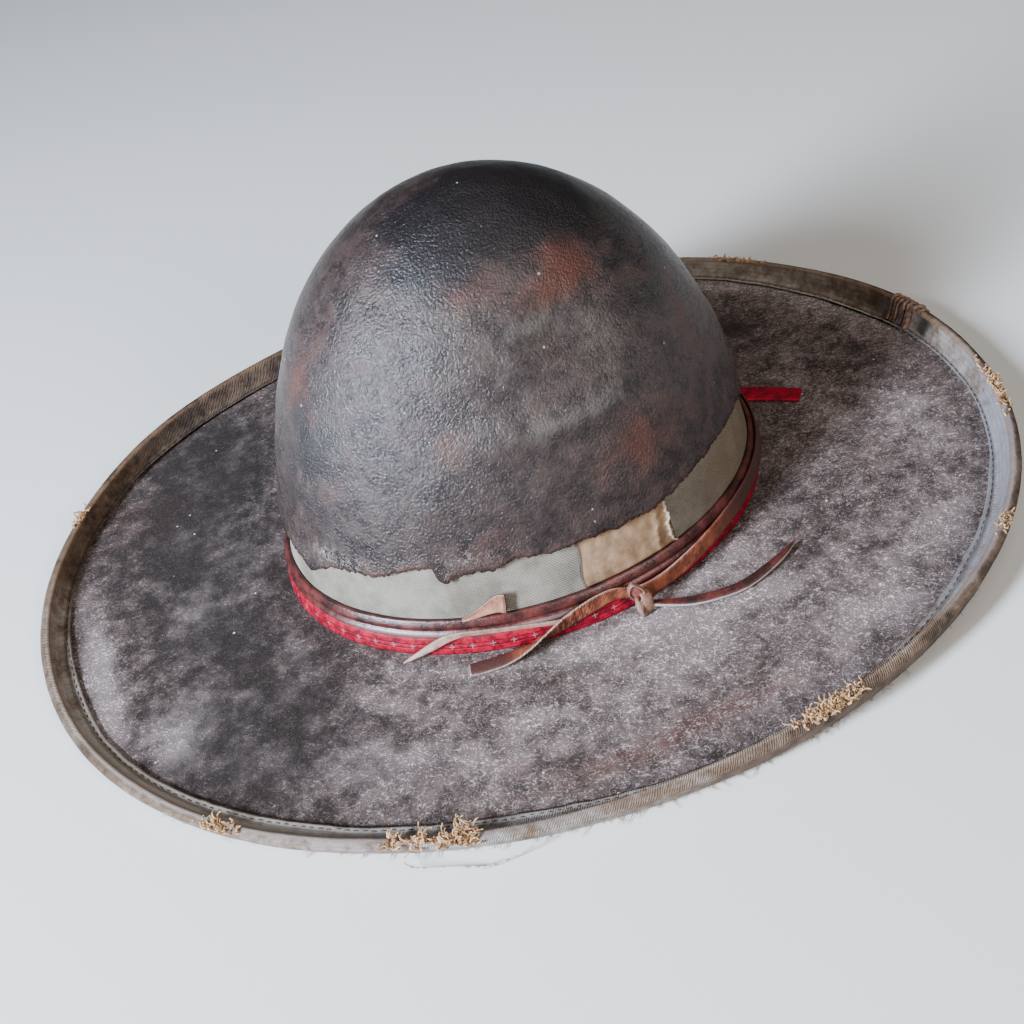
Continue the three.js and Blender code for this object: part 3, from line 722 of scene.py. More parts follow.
# Painted reflection: dull grey-green patches that stand for light reflected in the dents and folds at
# the front
CROWN_PAINTED_REFLECTION = [
    (-84, 0.121, 12, 0.004, 0, 0.9), (-66, 0.108, 6, 0.010, 0, 0.5), (-86, 0.089, 13, 0.004, 0, 0.8),
    (-72, 0.090, 8, 0.005, 0, 0.6), (-97, 0.110, 6, 0.010, 0, 0.4),
]
CROWN_SCRATCHES = [
    (-153, 0.0430, 5, 0.004, 0, 1.0),
    (-144, 0.0420, 4, 0.003, 0, 0.8),
    (-114, 0.0460, 6, 0.003, 0, 0.5),
]
crown_degrees = np.degrees(np.broadcast_to(crown_angles, crown_grid.shape[:2]))
crown_places = np.stack([crown_degrees, crown_grid[..., 2]], axis=-1)
mark = roughen(crown_grid, 0.016, 10) * 0.3
store(crown.data, "rust", stain(crown_places, CROWN_RUST) + mark)
store(crown.data, "soot_and_painted_shade", stain(crown_places, CROWN_SOOT_AND_PAINTED_SHADE) - mark)
over_edge = crown_grid[..., 2] - np.broadcast_to(edge_z, crown_grid.shape[:2])
store(crown.data, "torn", 1 - np.clip(over_edge / 0.006, 0, 1))
cut_columns = np.zeros(crown_grid.shape[:2])
cut_columns[:, outside.shape[1]:] = 1
store(crown.data, "cut", cut_columns)
store(crown.data, "scratch", np.clip(stain(crown_places, CROWN_SCRATCHES), 0, 1) * 0.4)
store(crown.data, "painted_reflection", stain(crown_places, CROWN_PAINTED_REFLECTION))

crown_material, tree, felt = new_material("crown_felt")
fibres = node(tree, "ShaderNodeGroup", node_tree=FELT_FIBRES)
fibres.inputs["Fibre Size"].default_value = 0.0022
hair, mottle, fleck = (fibres.outputs[name] for name in ("Fibres", "Mottle", "Flecks"))
ragged = calc(tree, "MULTIPLY_ADD", mottle, 2.4, -1.2)
rusty = between(tree, calc(tree, "ADD", attribute(tree, "rust"), ragged), 0.0, 1.7)
soot_and_shade = between(tree, calc(tree, "SUBTRACT", attribute(tree, "soot_and_painted_shade"), ragged), 0.0, 1.2)
mottled = between(tree, mottle, 0.3, 0.7)
colour = mixed(tree, mottled, (0.014, 0.009, 0.009, 1), (0.040, 0.027, 0.024, 1))
colour = mixed(tree, rusty, colour, (0.062, 0.016, 0.010, 1))
# Painted reflection: grey-green patches mixed into the crown's colour
painted_reflection = between(tree, calc(tree, "ADD", attribute(tree, "painted_reflection"), ragged), 0.0, 1.5)
colour = mixed(tree, calc(tree, "MULTIPLY", painted_reflection, 0.45), colour, (0.110, 0.112, 0.095, 1))
# Dark soot colour, which also paints shade over the dome's top and left flank
colour = mixed(tree, calc(tree, "MULTIPLY", soot_and_shade, 0.9), colour, (0.005, 0.004, 0.005, 1))
torn = between(tree, calc(tree, "ADD", attribute(tree, "torn"), ragged), 0.45, 1.1)
colour = mixed(tree, calc(tree, "MULTIPLY", torn, 0.30), colour, (0.10, 0.050, 0.038, 1))
colour = mixed(tree, attribute(tree, "cut"), colour, (0.012, 0.008, 0.007, 1))
scratched = calc(tree, "MULTIPLY", attribute(tree, "scratch"), between(tree, hair, 0.3, 0.9))
pale_marks = calc(tree, "MAXIMUM", calc(tree, "MULTIPLY", fleck, 0.5), scratched)
colour = mixed(tree, pale_marks, colour, (0.60, 0.52, 0.47, 1))
tree.links.new(colour, felt.inputs["Base Color"])
shine = calc(tree, "MULTIPLY_ADD", mottle, 0.20, 0.17)
shine = calc(tree, "ADD", shine, calc(tree, "MULTIPLY", rusty, 0.08))
shine = calc(tree, "ADD", shine, calc(tree, "MULTIPLY", soot_and_shade, 0.06))
tree.links.new(shine, felt.inputs["Roughness"])
felt.inputs["Specular IOR Level"].default_value = 0.42
place = node(tree, "ShaderNodeTexCoord").outputs["Object"]
pebble = node(tree, "ShaderNodeTexNoise",
              {"Vector": place, "Scale": 950.0, "Detail": 2.5, "Roughness": 0.6})
pebbled = calc(tree, "MULTIPLY", pebble.outputs["Fac"], 2.2)
raised = calc(tree, "SUBTRACT", pebbled, calc(tree, "MULTIPLY", hair, 0.25))
raised = calc(tree, "ADD", raised, calc(tree, "MULTIPLY", mottle, 1.6))
bump = node(tree, "ShaderNodeBump", {"Strength": 0.7, "Distance": 0.0004, "Height": raised})
tree.links.new(bump.outputs["Normal"], felt.inputs["Normal"])
crown.data.materials.append(crown_material)
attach(crown, "root")
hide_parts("crown")

# Binding: a long strip of ribbed ribbon, folded over the rim and sewn through near its inner edge.
# It is faded at the left and right ends, brown at the back, and its outer edge has frayed. Painted
# light makes its inner face paler at the left and blue at the right, with a thin pale line along its
# inner edge at the right.
RIBBON_GAP = 0.0003
RIBBON_THICK = 0.0008
BEND_LENGTH = RIM_BEND_RADIUS * RIM_SLOPE
INNER_ROWS = 22
# How far the ribbon comes down the inner side of the rim, in degrees round the hat
SEAM_DEPTH = [
    (-180, 0.0135), (-167, 0.0110), (-140, 0.0120), (-90, 0.0140), (-57, 0.0190), (-42, 0.0198),
    (-27, 0.0182), (-12, 0.0135), (3, 0.0135), (10, 0.0165), (20, 0.0158), (34, 0.0138),
    (60, 0.0140), (100, 0.0150), (125, 0.0150), (145, 0.0105), (165, 0.0122), (180, 0.0135),
]
# How pale the ribbon's two faces are, from 0 dark brown to 1 grey: faded, and inside the rim at the
# left also painted light
INNER_FADE_AND_PAINTED_LIGHT = [
    (-180, 0.85), (-165, 1.10), (-150, 1.20), (-125, 0.95), (-60, 0.60), (-48, 0.80), (-20, 0.95),
    (-5, 0.65), (2, 0.50), (12, 0.68), (35, 0.80), (60, 0.75), (90, 0.50), (118, 0.24),
    (140, 0.12), (160, 0.34), (172, 0.62), (180, 0.85),
]
OUTER_FADE = [
    (-180, 0.40), (-155, 0.42), (-138, 0.55), (-118, 0.80), (-98, 0.58), (-84, 0.36), (-60, 0.26),
    (-40, 0.20), (0, 0.15), (90, 0.15), (150, 0.20), (180, 0.45),
]
# A blue tint painted on for cool light, strongest inside the rim at the right
PAINTED_BLUE_LIGHT = [
    (-180, 0.0), (-130, 0.2), (-112, 0.5), (-90, 0.1), (-60, 0.1), (-44, 0.9), (-18, 1.0),
    (2, 0.2), (12, 0.0), (180, 0.0),
]


def turned(angle):
    """An angle in degrees from -180 to 180."""
    return (np.degrees(angle) + 180) % 360 - 180


def by_angle(table, angle):
    """A value read from a table of degrees and values."""
    return np.interp(turned(angle), *np.array(table).T)


def seam_share(angle, beyond=0.0):
    """Where the ribbon's inner edge lies along the rim path. beyond moves up the rim from there."""
    depth = by_angle(SEAM_DEPTH, angle) - beyond
    straight = rim_straight(angle)
    return np.where(depth > straight, 1 - (depth - straight) / BEND_LENGTH, 2 - depth / straight)


rim_circle = points_of(np.cos(angles) * 0.2, np.sin(angles) * 0.17, 0)
hem_noise = roughen(rim_circle, 0.012, 11)
inner_edge = seam_share(angles, hem_noise * 0.0004)
outer_edge = 0.36 + hem_noise * 0.08
face = half_felt + RIBBON_GAP
down_inside = np.linspace(0, 1, INNER_ROWS)[None, :]
inside_share = inner_edge + (2 - inner_edge) * down_inside
outside_share = 2 + (outer_edge - 2) * np.linspace(0, 1, 14)[None, :]
creep = roughen(rim_circle, 0.006, 12) * 0.00012
cover = face + RIBBON_THICK + creep
ribbon_face = cover[0, 0]
rim_top = np.array([[2.0]])
top_turn = np.linspace(0, math.pi, 7)[1:-1]
pucker = roughen(beside_rim(angles, inside_share, cover), 0.004, 15)
edge_raise = 0.00022 * np.exp(-(down_inside / 0.10) ** 2)
binding_grid = np.concatenate([
    beside_rim(angles, inside_share, cover + pucker * 0.00016 + edge_raise),
    *[beside_rim(angles, rim_top, cover * math.cos(t), cover * 0.6 * math.sin(t)) for t in top_turn],
    beside_rim(angles, outside_share, -cover),
    beside_rim(angles, outside_share[:, ::-4], -face),
    beside_rim(angles, inside_share[:, ::-6], face),
], axis=1)
binding_grid[..., 2] = np.maximum(binding_grid[..., 2], 0.0005)
binding = skin("rim_binding", binding_grid)
column = np.arange(binding_grid.shape[1])[None, :] + 0 * angles
store(binding.data, "top", np.exp(-((column - INNER_ROWS + 0.5) / 2.6) ** 2))
# Painted highlight: a thin pale line along the ribbon's raised inner edge, at the right
painted_edge_highlight = np.exp(-((column - 0.6) / 0.9) ** 2) * np.exp(-((turned(angles) - 32) / 32) ** 2)
on_inside = column < INNER_ROWS + 2
fade = np.where(on_inside, by_angle(INNER_FADE_AND_PAINTED_LIGHT, angles), by_angle(OUTER_FADE, angles))
# The stored fade is partly painted light: the inner face's paleness at the left and the pale line along
# the inner edge
store(binding.data, "fade", fade + painted_edge_highlight)
store(binding.data, "painted_blue_light", by_angle(PAINTED_BLUE_LIGHT, angles) + 0 * column)
seam_shadow = np.exp(-((column - 3.2) / 0.9) ** 2) * 0.7 * (column < INNER_ROWS)
# Painted shade inside the fold where the ribbon's ends part, added to the shadow painted along the seam
open_fold = np.exp(-((turned(angles) - 0.9) / 0.9) ** 2)
open_fold = open_fold * (column < INNER_ROWS - 2) * np.clip((column - 5) / 4, 0, 1)
store(binding.data, "dark", np.clip(seam_shadow + open_fold * 1.5, 0, 1))


def woven_group():
    """Cloth threads on a UV map in metres: cords across the ribbon, and threads along it."""
    group = bpy.data.node_groups.new("woven_threads", "ShaderNodeTree")
    for name in ("Rib Pitch", "Thread Pitch", "Slant"):
        group.interface.new_socket(name, in_out="INPUT", socket_type="NodeSocketFloat")
    group.interface.new_socket("Ribs", in_out="OUTPUT", socket_type="NodeSocketFloat")
    group.interface.new_socket("Threads", in_out="OUTPUT", socket_type="NodeSocketFloat")
    entry = node(group, "NodeGroupInput")
    surface = node(group, "ShaderNodeUVMap", uv_map="surface").outputs["UV"]
    split = node(group, "ShaderNodeSeparateXYZ", {"Vector": surface})
    wander = node(group, "ShaderNodeTexNoise", {"Vector": surface, "Scale": 350.0, "Detail": 1.0})
    shift = calc(group, "MULTIPLY_ADD", wander.outputs["Fac"], 0.0012, -0.0006)
    u = calc(group, "ADD", split.outputs["X"], shift)
    u = calc(group, "ADD", u, calc(group, "MULTIPLY", split.outputs["Y"], entry.outputs["Slant"]))
    v = calc(group, "ADD", split.outputs["Y"], shift)
    leave = node(group, "NodeGroupOutput")
    for along, pitch, name in ((u, "Rib Pitch", "Ribs"), (v, "Thread Pitch", "Threads")):
        turns = calc(group, "MULTIPLY", along, 2 * math.pi)
        phase = calc(group, "DIVIDE", turns, entry.outputs[pitch])
        wave = calc(group, "MULTIPLY_ADD", calc(group, "SINE", phase), 0.5, 0.5)
        group.links.new(wave, leave.inputs[name])
    return group


WOVEN_THREADS = woven_group()


def woven(tree, rib_pitch, thread_pitch, slant):
    """The woven threads in one material, with its own pitches."""
    weave = node(tree, "ShaderNodeGroup", node_tree=WOVEN_THREADS)
    weave.inputs["Rib Pitch"].default_value = rib_pitch
    weave.inputs["Thread Pitch"].default_value = thread_pitch
    weave.inputs["Slant"].default_value = slant
    return weave.outputs["Ribs"], weave.outputs["Threads"]


binding_material, tree, cloth = new_material("rim_ribbon")
ribs, threads = woven(tree, 0.0009, 0.0022, 0.55)
place = node(tree, "ShaderNodeTexCoord").outputs["Object"]
fuzz = node(tree, "ShaderNodeTexNoise",
            {"Vector": place, "Scale": 210.0, "Detail": 7.0, "Roughness": 0.75})
blots = node(tree, "ShaderNodeTexNoise",
             {"Vector": place, "Scale": 60.0, "Detail": 4.0, "Roughness": 0.6})
worn = calc(tree, "MULTIPLY_ADD", fuzz.outputs["Fac"], 1.7, -0.85)
blotted = calc(tree, "MULTIPLY_ADD", blots.outputs["Fac"], 1.3, -0.65)
# The fade mask pales the ribbon: real fading, and painted light inside the rim at the left and along
# its inner edge at the right
fade = calc(tree, "ADD", attribute(tree, "fade"), calc(tree, "ADD", worn, blotted))
brown = between(tree, fade, -0.1, 0.45)
colour = mixed(tree, brown, (0.028, 0.017, 0.012, 1), (0.125, 0.080, 0.052, 1))
colour = mixed(tree, between(tree, fade, 0.35, 1.25), colour, (0.40, 0.355, 0.305, 1))
# Painted cool light: a blue tint on the faded ribbon
painted_blue_light = calc(tree, "MULTIPLY", attribute(tree, "painted_blue_light"), between(tree, fade, 0.3, 1.0))
colour = mixed(tree, calc(tree, "MULTIPLY", painted_blue_light, 0.7), colour, (0.205, 0.205, 0.255, 1))
rubbed = between(tree, calc(tree, "ADD", attribute(tree, "top"), worn), 0.45, 1.1)
colour = mixed(tree, calc(tree, "MULTIPLY", rubbed, 0.6), colour, (0.20, 0.105, 0.055, 1))
colour = mixed(tree, calc(tree, "MULTIPLY", ribs, 0.30), colour, (0.026, 0.020, 0.016, 1))
line = between(tree, threads, 0.80, 1.0)
colour = mixed(tree, calc(tree, "MULTIPLY", line, 0.22), colour, (0.018, 0.014, 0.012, 1))
dark = calc(tree, "MULTIPLY", attribute(tree, "dark"), 0.9)
colour = mixed(tree, dark, colour, (0.007, 0.005, 0.005, 1))
tree.links.new(colour, cloth.inputs["Base Color"])
cloth.inputs["Roughness"].default_value = 0.88
cloth.inputs["Specular IOR Level"].default_value = 0.25
raised = calc(tree, "SUBTRACT", calc(tree, "MULTIPLY", fuzz.outputs["Fac"], 2.2), ribs)
raised = calc(tree, "SUBTRACT", raised, calc(tree, "MULTIPLY", attribute(tree, "dark"), 1.5))
bump = node(tree, "ShaderNodeBump", {"Strength": 0.7, "Distance": 0.0004, "Height": raised})
tree.links.new(bump.outputs["Normal"], cloth.inputs["Normal"])
binding.data.materials.append(binding_material)
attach(binding, "root")
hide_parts("brim_binding")

# Stitches: the dark thread that holds the binding, sewn through ribbon and felt. It shows as one row
# of short stitches beside the ribbon's inner edge.
STITCH_PITCH = 0.0036
STITCH_LENGTH = 0.0021
STITCH_THICK = 0.00042


def strand_tree(material):
    """Turns a mesh of loose lines into round threads, as thick as their thick attribute says."""
    tree = bpy.data.node_groups.new("threads_" + material.name, "GeometryNodeTree")
    tree.interface.new_socket("Geometry", in_out="INPUT", socket_type="NodeSocketGeometry")
    tree.interface.new_socket("Sides", in_out="INPUT", socket_type="NodeSocketInt")
    tree.interface.new_socket("Geometry", in_out="OUTPUT", socket_type="NodeSocketGeometry")
    entry = node(tree, "NodeGroupInput")
    lines = node(tree, "GeometryNodeMeshToCurve", {"Mesh": entry.outputs["Geometry"]})
    radius = node(tree, "GeometryNodeInputNamedAttribute", {"Name": "thick"}, data_type="FLOAT")
    profile = node(tree, "GeometryNodeCurvePrimitiveCircle",
                   {"Resolution": entry.outputs["Sides"], "Radius": 0.5})
    tube = node(tree, "GeometryNodeCurveToMesh",
                {"Curve": lines.outputs[0], "Profile Curve": profile.outputs["Curve"],
                 "Scale": radius.outputs["Attribute"], "Fill Caps": True})
    smooth = node(tree, "GeometryNodeSetShadeSmooth", {"Geometry": tube.outputs["Mesh"]})
    real = node(tree, "GeometryNodeRealizeInstances", {"Geometry": smooth.outputs[0]})
    dressed = node(tree, "GeometryNodeSetMaterial",
                   {"Geometry": real.outputs[0], "Material": material})
    leave = node(tree, "NodeGroupOutput")
    tree.links.new(dressed.outputs[0], leave.inputs["Geometry"])
    return tree


def threads_piece(name, lines, material, replaced, sides=5):
    """One piece of many threads. Each line is its points and its thickness at each of them."""
    points = np.concatenate([line for line, _ in lines])
    thick = np.concatenate([np.broadcast_to(width, len(line)) for line, width in lines])
    edges = []
    start = 0
    for line, _ in lines:
        edges += [(i, i + 1) for i in range(start, start + len(line) - 1)]
        start += len(line)
    mesh = bpy.data.meshes.new(name)
    mesh.from_pydata(points.tolist(), edges, [])
    store(mesh, "thick", thick)
    piece = bpy.data.objects.new(name, mesh)
    bpy.context.collection.objects.link(piece)
    with_modifier(piece, strand_tree(material), Sides=sides)
    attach(piece, "root")
    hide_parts(replaced)


def thread_material(name, dark, light, scale=700.0):
    """Dull thread or fibre, blotched between two colours."""
    material, tree, fibre = new_material(name)
    place = node(tree, "ShaderNodeTexCoord").outputs["Object"]
    tone = node(tree, "ShaderNodeTexNoise", {"Vector": place, "Scale": scale, "Detail": 2.0})
    colour = mixed(tree, between(tree, tone.outputs["Fac"], 0.35, 0.65), (*dark, 1), (*light, 1))
    tree.links.new(colour, fibre.inputs["Base Color"])
    fibre.inputs["Roughness"].default_value = 0.8
    bump = node(tree, "ShaderNodeBump",
                {"Strength": 0.5, "Distance": 0.0002, "Height": tone.outputs["Fac"]})
    tree.links.new(bump.outputs["Normal"], fibre.inputs["Normal"])
    return material


chance = np.random.default_rng(17)
seam_line = binding_grid[:, 4]
rim_length = np.linalg.norm(np.roll(seam_line, -1, axis=0) - seam_line, axis=1).sum()
stitch_count = int(rim_length / STITCH_PITCH)
stitch_turn = STITCH_LENGTH / STITCH_PITCH * 2 * math.pi / stitch_count
stitches = []
for i in range(stitch_count):
    start = 2 * math.pi * i / stitch_count + chance.normal() * 0.0006
    at = start + stitch_turn * np.array([0, 0.15, 0.5, 0.85, 1.0])
    share = seam_share(at, 0.0016 + chance.normal() * 0.00012)
    height = ribbon_face + np.array([-0.0002, 0.00012, 0.00022, 0.00012, -0.0002])
    stitches.append((beside_rim(at, share, height), STITCH_THICK))
STITCH_THREAD = thread_material("stitch_thread", (0.010, 0.007, 0.006), (0.040, 0.026, 0.020))
threads_piece("rim_stitches", stitches, STITCH_THREAD, "brim_binding")

# Fringe: the ribbon's own threads, which stick out below its frayed outer edge, most of them at the
# front. One long pale thread has come loose at the front left.
FRINGE_PLACES = 250
# The loose thread's run: degrees round the hat, distance out past the rim, height, thickness
LOOSE_THREAD = [
    (-120.8, 0.0008, 0.0068, 0.0010),
    (-121.4, 0.0030, 0.0050, 0.0008),
    (-120.2, 0.0042, 0.0030, 0.0008),
    (-117.0, 0.0040, 0.0016, 0.0007),
    (-114.0, 0.0046, 0.0012, 0.0009),
    (-112.6, 0.0052, 0.0010, 0.0012),
    (-110.0, 0.0036, 0.0014, 0.0007),
    (-107.6, 0.0020, 0.0036, 0.0006),
    (-106.4, 0.0008, 0.0052, 0.0005),
]


def smooth_line(places, steps):
    """A smooth line through the rows of an array."""
    places = np.asarray(places, dtype=float)
    share = np.linspace(0, len(places) - 1, steps)
    i = np.clip(share.astype(int), 0, len(places) - 2)
    t = (share - i)[:, None]
    before, after = places[np.maximum(i - 1, 0)], places[np.minimum(i + 2, len(places) - 1)]
    a, b = places[i], places[i + 1]
    bend = 2 * before - 5 * a + 4 * b - after + t * (3 * (a - b) + after - before)
    return a + 0.5 * t * (b - before + t * bend)


fringe = []
for i in range(FRINGE_PLACES):
    angle = 2 * math.pi * (i + 0.6 * chance.random()) / FRINGE_PLACES
    frontal = math.exp(-((turned(angle) + 88) / 62) ** 2)
    if chance.random() > 0.25 + 0.7 * frontal:
        continue
    for _ in range(chance.integers(1, 4)):
        at = angle + chance.normal() * 0.004
        length = (0.0010 + 0.0028 * chance.random() ** 1.6) * (0.55 + 0.6 * frontal)
        fray_out, fray_z, _ = rim_path(at, 0.45)
        lean = chance.normal() * 0.5
        s = np.linspace(0, 1, 5)
        out = fray_out + ribbon_face * 0.8 + length * s
        z = np.maximum(fray_z - 0.0020 + length * (0.10 * s - 0.30 * s ** 2), 0.0005)
        side = at + lean * length * s ** 1.5 / 0.2
        thick = np.linspace(0.00045, 0.00016, 5) * (0.7 + 0.6 * chance.random())
        fringe.append((brim_point(side, out, z), thick))
loose_degrees, loose_out, loose_z, loose_thick = np.array(LOOSE_THREAD).T
loose_angle = np.radians(loose_degrees)
loose = smooth_line(brim_point(loose_angle, brim_width(loose_angle) + loose_out, loose_z), 40)
loose[:, 2] = np.maximum(loose[:, 2], 0.0007)
fringe.append((loose, smooth_line(loose_thick[:, None], 40)[:, 0]))
FRINGE_THREAD = thread_material("fringe_thread", (0.20, 0.155, 0.115), (0.56, 0.50, 0.43))
threads_piece("rim_fringe", fringe, FRINGE_THREAD, "brim_binding", 4)

# Tufts: where the ribbon has worn through at the fold, its golden filling has worked out. It stands
# up in short curly locks, thickest at the front.

# Middle in degrees round the hat, half width in degrees, count, lock length
TUFTS = [
    (-143.4, 2.6, 34, 0.0045),
    (-122.7, 0.6, 12, 0.0050),
    (-119.9, 1.0, 18, 0.0055),
    (-117.2, 0.6, 11, 0.0052),
    (-114.7, 1.3, 32, 0.0080),
    (-72.2, 3.6, 70, 0.0052),
    (-39.0, 1.8, 20, 0.0030),
    (-15.5, 4.4, 60, 0.0040),
    (33.0, 4.2, 44, 0.0032),
    (155.0, 1.7, 26, 0.0040),
]
tufts = []
for middle, half, count, reach in TUFTS:
    for _ in range(count * 2):
        at = math.radians(middle + half * np.clip(chance.normal() * 0.55, -1.3, 1.3))
        s = np.linspace(0, 1, 8)
        length = reach * (0.30 + 0.55 * chance.random())
        twist = chance.random() * 6.3
        curl = 0.24 * length * np.stack([np.cos(twist + 7 * s), np.sin(twist + 7 * s)])
        inward = chance.normal() * 0.5 + 0.15
        off = ribbon_face * chance.uniform(-0.9, 1.0)
        base = beside_rim(at, 2.0, off, ribbon_face * 0.25)
        outward = np.array([math.cos(at), math.sin(at), 0])
        along = np.array([-outward[1], outward[0], 0])
        rise = np.array([0, 0, 1]) * 0.75 - outward * inward + along * chance.normal() * 0.6
        line = base + np.outer(s * length, rise)
        line = line + np.outer(curl[0] * s, along) + np.outer(curl[1] * s, outward)
        thick = np.interp(s, [0, 0.3, 1], [0.0011, 0.0011, 0.0005]) * chance.uniform(0.6, 1.1)
        tufts.append((line, thick))
TUFT_FIBRE = thread_material("tuft_fibre", (0.20, 0.100, 0.042), (0.52, 0.32, 0.165))
threads_piece("rim_tufts", tufts, TUFT_FIBRE, "brim_binding", 5)

# Rim mend: brown cord wound round the rim by hand where the ribbon's ends meet. Five turns lie side
# by side, and two looser ones cross the rim just to their right.
MEND_START = 4.1
MEND_WRAPS = 5
MEND_PITCH = 0.72
MEND_THICK = 0.00155
# The looser turns: degrees back from the first, thickness, lower ends inside and outside, slant
MEND_LOOSE = [(1.1, 0.0020, 0.10, 0.8, 0.010), (2.0, 0.0011, 0.55, 0.9, 0.022)]


def mend_wrap(angle, thick, low_in, low_out, sway):
    """One turn of cord over the rim's top, from its inner face to its outer face."""
    off = ribbon_face + thick * 0.45
    arc = np.linspace(0, math.pi, 9)
    over = beside_rim(angle, 2.0, off * np.cos(arc), off * 0.62 * np.sin(arc))
    up_inside = beside_rim(angle + sway, np.linspace(low_in, 1.9, 8), off)
    down_outside = beside_rim(angle, np.linspace(1.9, low_out, 6), -off)
    line = smooth_line(np.concatenate([up_inside, over, down_outside]), 34)
    return line, np.interp(np.linspace(0, 1, 34), [0, 0.05, 1], [0.6, 1, 1]) * thick


mend_lines = []
for i in range(MEND_WRAPS):
    angle = math.radians(MEND_START + MEND_PITCH * i)
    thick = MEND_THICK * (0.9 + 0.25 * chance.random())
    low = 0.36 + 0.12 * chance.random()
    mend_lines.append(mend_wrap(angle, thick, low, 0.9, chance.normal() * 0.0025))
for back, *turn_sizes in MEND_LOOSE:
    mend_lines.append(mend_wrap(math.radians(MEND_START - back), *turn_sizes))
MEND_CORD = thread_material("mend_cord", (0.050, 0.024, 0.014), (0.185, 0.095, 0.058), 500.0)
threads_piece("mend_wraps", mend_lines, MEND_CORD, "rim_mend", 8)

# Cloth band: a twill ribbon 39 mm wide, drawn tight round the collar. The crown's torn edge hangs
# over its upper edge, and it has puckered into a soft pleat at the right.
BAND_LOW_Z = 0.006
BAND_TOP_Z = 0.045
BAND_OUT = 0.0003
BAND_THICK = 0.0012
BAND_SPOKES = 480
# Where the ribbon has puckered: degrees round the hat, degrees of slant a metre, height of the fold
BAND_PLEATS = [(-36, 240, 0.0012), (-27, 150, 0.0008), (-53, 300, 0.0006), (-140, 120, 0.0003)]

band_angles = np.linspace(math.pi / 2, 2.5 * math.pi, BAND_SPOKES, endpoint=False)[:, None]


def band_grid(angle, low, top, out, thick, rows, relief=None):
    """A flat ring on the collar as a closed section: outer face from low to top, then inner face."""
    share = np.linspace(0, 1, rows)[None, :]
    z = low + (top - low) * share
    round_edge = np.sin(math.pi * np.clip(share, 0.02, 0.98)) ** 0.35
    face_out = out + thick * (0.55 + 0.45 * round_edge) + 0 * angle
    if relief is not None:
        face_out = face_out + relief(angle, z, share)
    back = z[:, ::-3]
    return np.concatenate([
        collar_point(angle, z + 0 * angle, face_out),
        collar_point(angle, back + 0 * angle, out + 0 * angle),
    ], axis=1)


def band_relief(angle, z, share):
    """Shallow waves along the ribbon, and the pleat where it is held least."""
    ripple = 0.00010 * np.sin(9 * angle + 60 * z) + 0.00008 * np.sin(23 * angle - 90 * z)
    above = np.clip((z - 0.020) / 0.008, 0, 1)
    pleat = 0
    for degrees, slant, tall in BAND_PLEATS:
        off = turned(angle) - degrees - slant * (z - 0.032)
        pleat = pleat + tall * np.exp(-(off / 2.2) ** 2)
    return ripple * np.sin(math.pi * share) + pleat * above


band_section = band_grid(
    band_angles, BAND_LOW_Z, BAND_TOP_Z, BAND_OUT, BAND_THICK, 31, band_relief,
)
band = skin("cloth_band", band_section)
band_material, tree, cloth = new_material("band_cloth")
ribs, threads = woven(tree, 0.0012, 0.0009, 0.9)
place = node(tree, "ShaderNodeTexCoord").outputs["Object"]
stains = node(tree, "ShaderNodeTexNoise",
              {"Vector": place, "Scale": 55.0, "Detail": 7.0, "Roughness": 0.65})
side = node(tree, "ShaderNodeSeparateXYZ", {"Vector": place}).outputs["X"]
browner = calc(tree, "MULTIPLY", between(tree, side, 0.035, 0.085), 0.8)
stained = between(tree, stains.outputs["Fac"], 0.32, 0.68)
colour = mixed(tree, stained, (0.130, 0.115, 0.090, 1), (0.255, 0.230, 0.190, 1))
colour = mixed(tree, browner, colour, (0.125, 0.090, 0.060, 1))
twill = calc(tree, "MULTIPLY", calc(tree, "MULTIPLY", ribs, threads), 0.7)
colour = mixed(tree, twill, colour, (0.045, 0.040, 0.030, 1))
tree.links.new(colour, cloth.inputs["Base Color"])
cloth.inputs["Roughness"].default_value = 0.9
cloth.inputs["Specular IOR Level"].default_value = 0.25
raised = calc(tree, "SUBTRACT", calc(tree, "MULTIPLY", stains.outputs["Fac"], 2.0), ribs)
bump = node(tree, "ShaderNodeBump", {"Strength": 0.6, "Distance": 0.0003, "Height": raised})
tree.links.new(bump.outputs["Normal"], cloth.inputs["Normal"])
band.data.materials.append(band_material)
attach(band, "root")
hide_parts("cloth_band")

# Torn edge: where the crown's felt has torn, short loose fibres of it hang over the ribbon. One pale
# end of thread hangs in the notch at the front.
EDGE_FIBRE_COUNT = 260
# The pale end's run: degrees round the hat, height, distance out from the collar
PALE_END = [
    (-118.7, 0.0402, 0.0034), (-118.5, 0.0388, 0.0037), (-118.6, 0.0372, 0.0034),
    (-118.2, 0.0360, 0.0030),
]

edge_fibres = []
for _ in range(EDGE_FIBRE_COUNT):
    angle = chance.uniform(-math.pi, math.pi)
    degrees = float(turned(angle))
    height = np.interp(degrees, edge_degrees, edge_heights)
    length = 0.0006 + 0.0012 * chance.random() ** 2
    s = np.linspace(0, 1, 4)
    at = angle + chance.normal() * 0.006 * s
    out = BAND_OUT + BAND_THICK + 0.0010 + 0.0008 * s
    line = collar_point(at, height + 0.0006 - length * s, out)
    edge_fibres.append((line, np.linspace(0.00022, 0.00010, 4)))
pale_degrees, pale_z, pale_out = np.array(PALE_END).T
pale_end = collar_point(np.radians(pale_degrees), pale_z, pale_out)
edge_fibres.append((smooth_line(pale_end, 12), 0.0008))
EDGE_FIBRE = thread_material("edge_fibre", (0.06, 0.035, 0.028), (0.40, 0.31, 0.26), 150.0)
threads_piece("edge_fibres", edge_fibres, EDGE_FIBRE, "crown", 4)

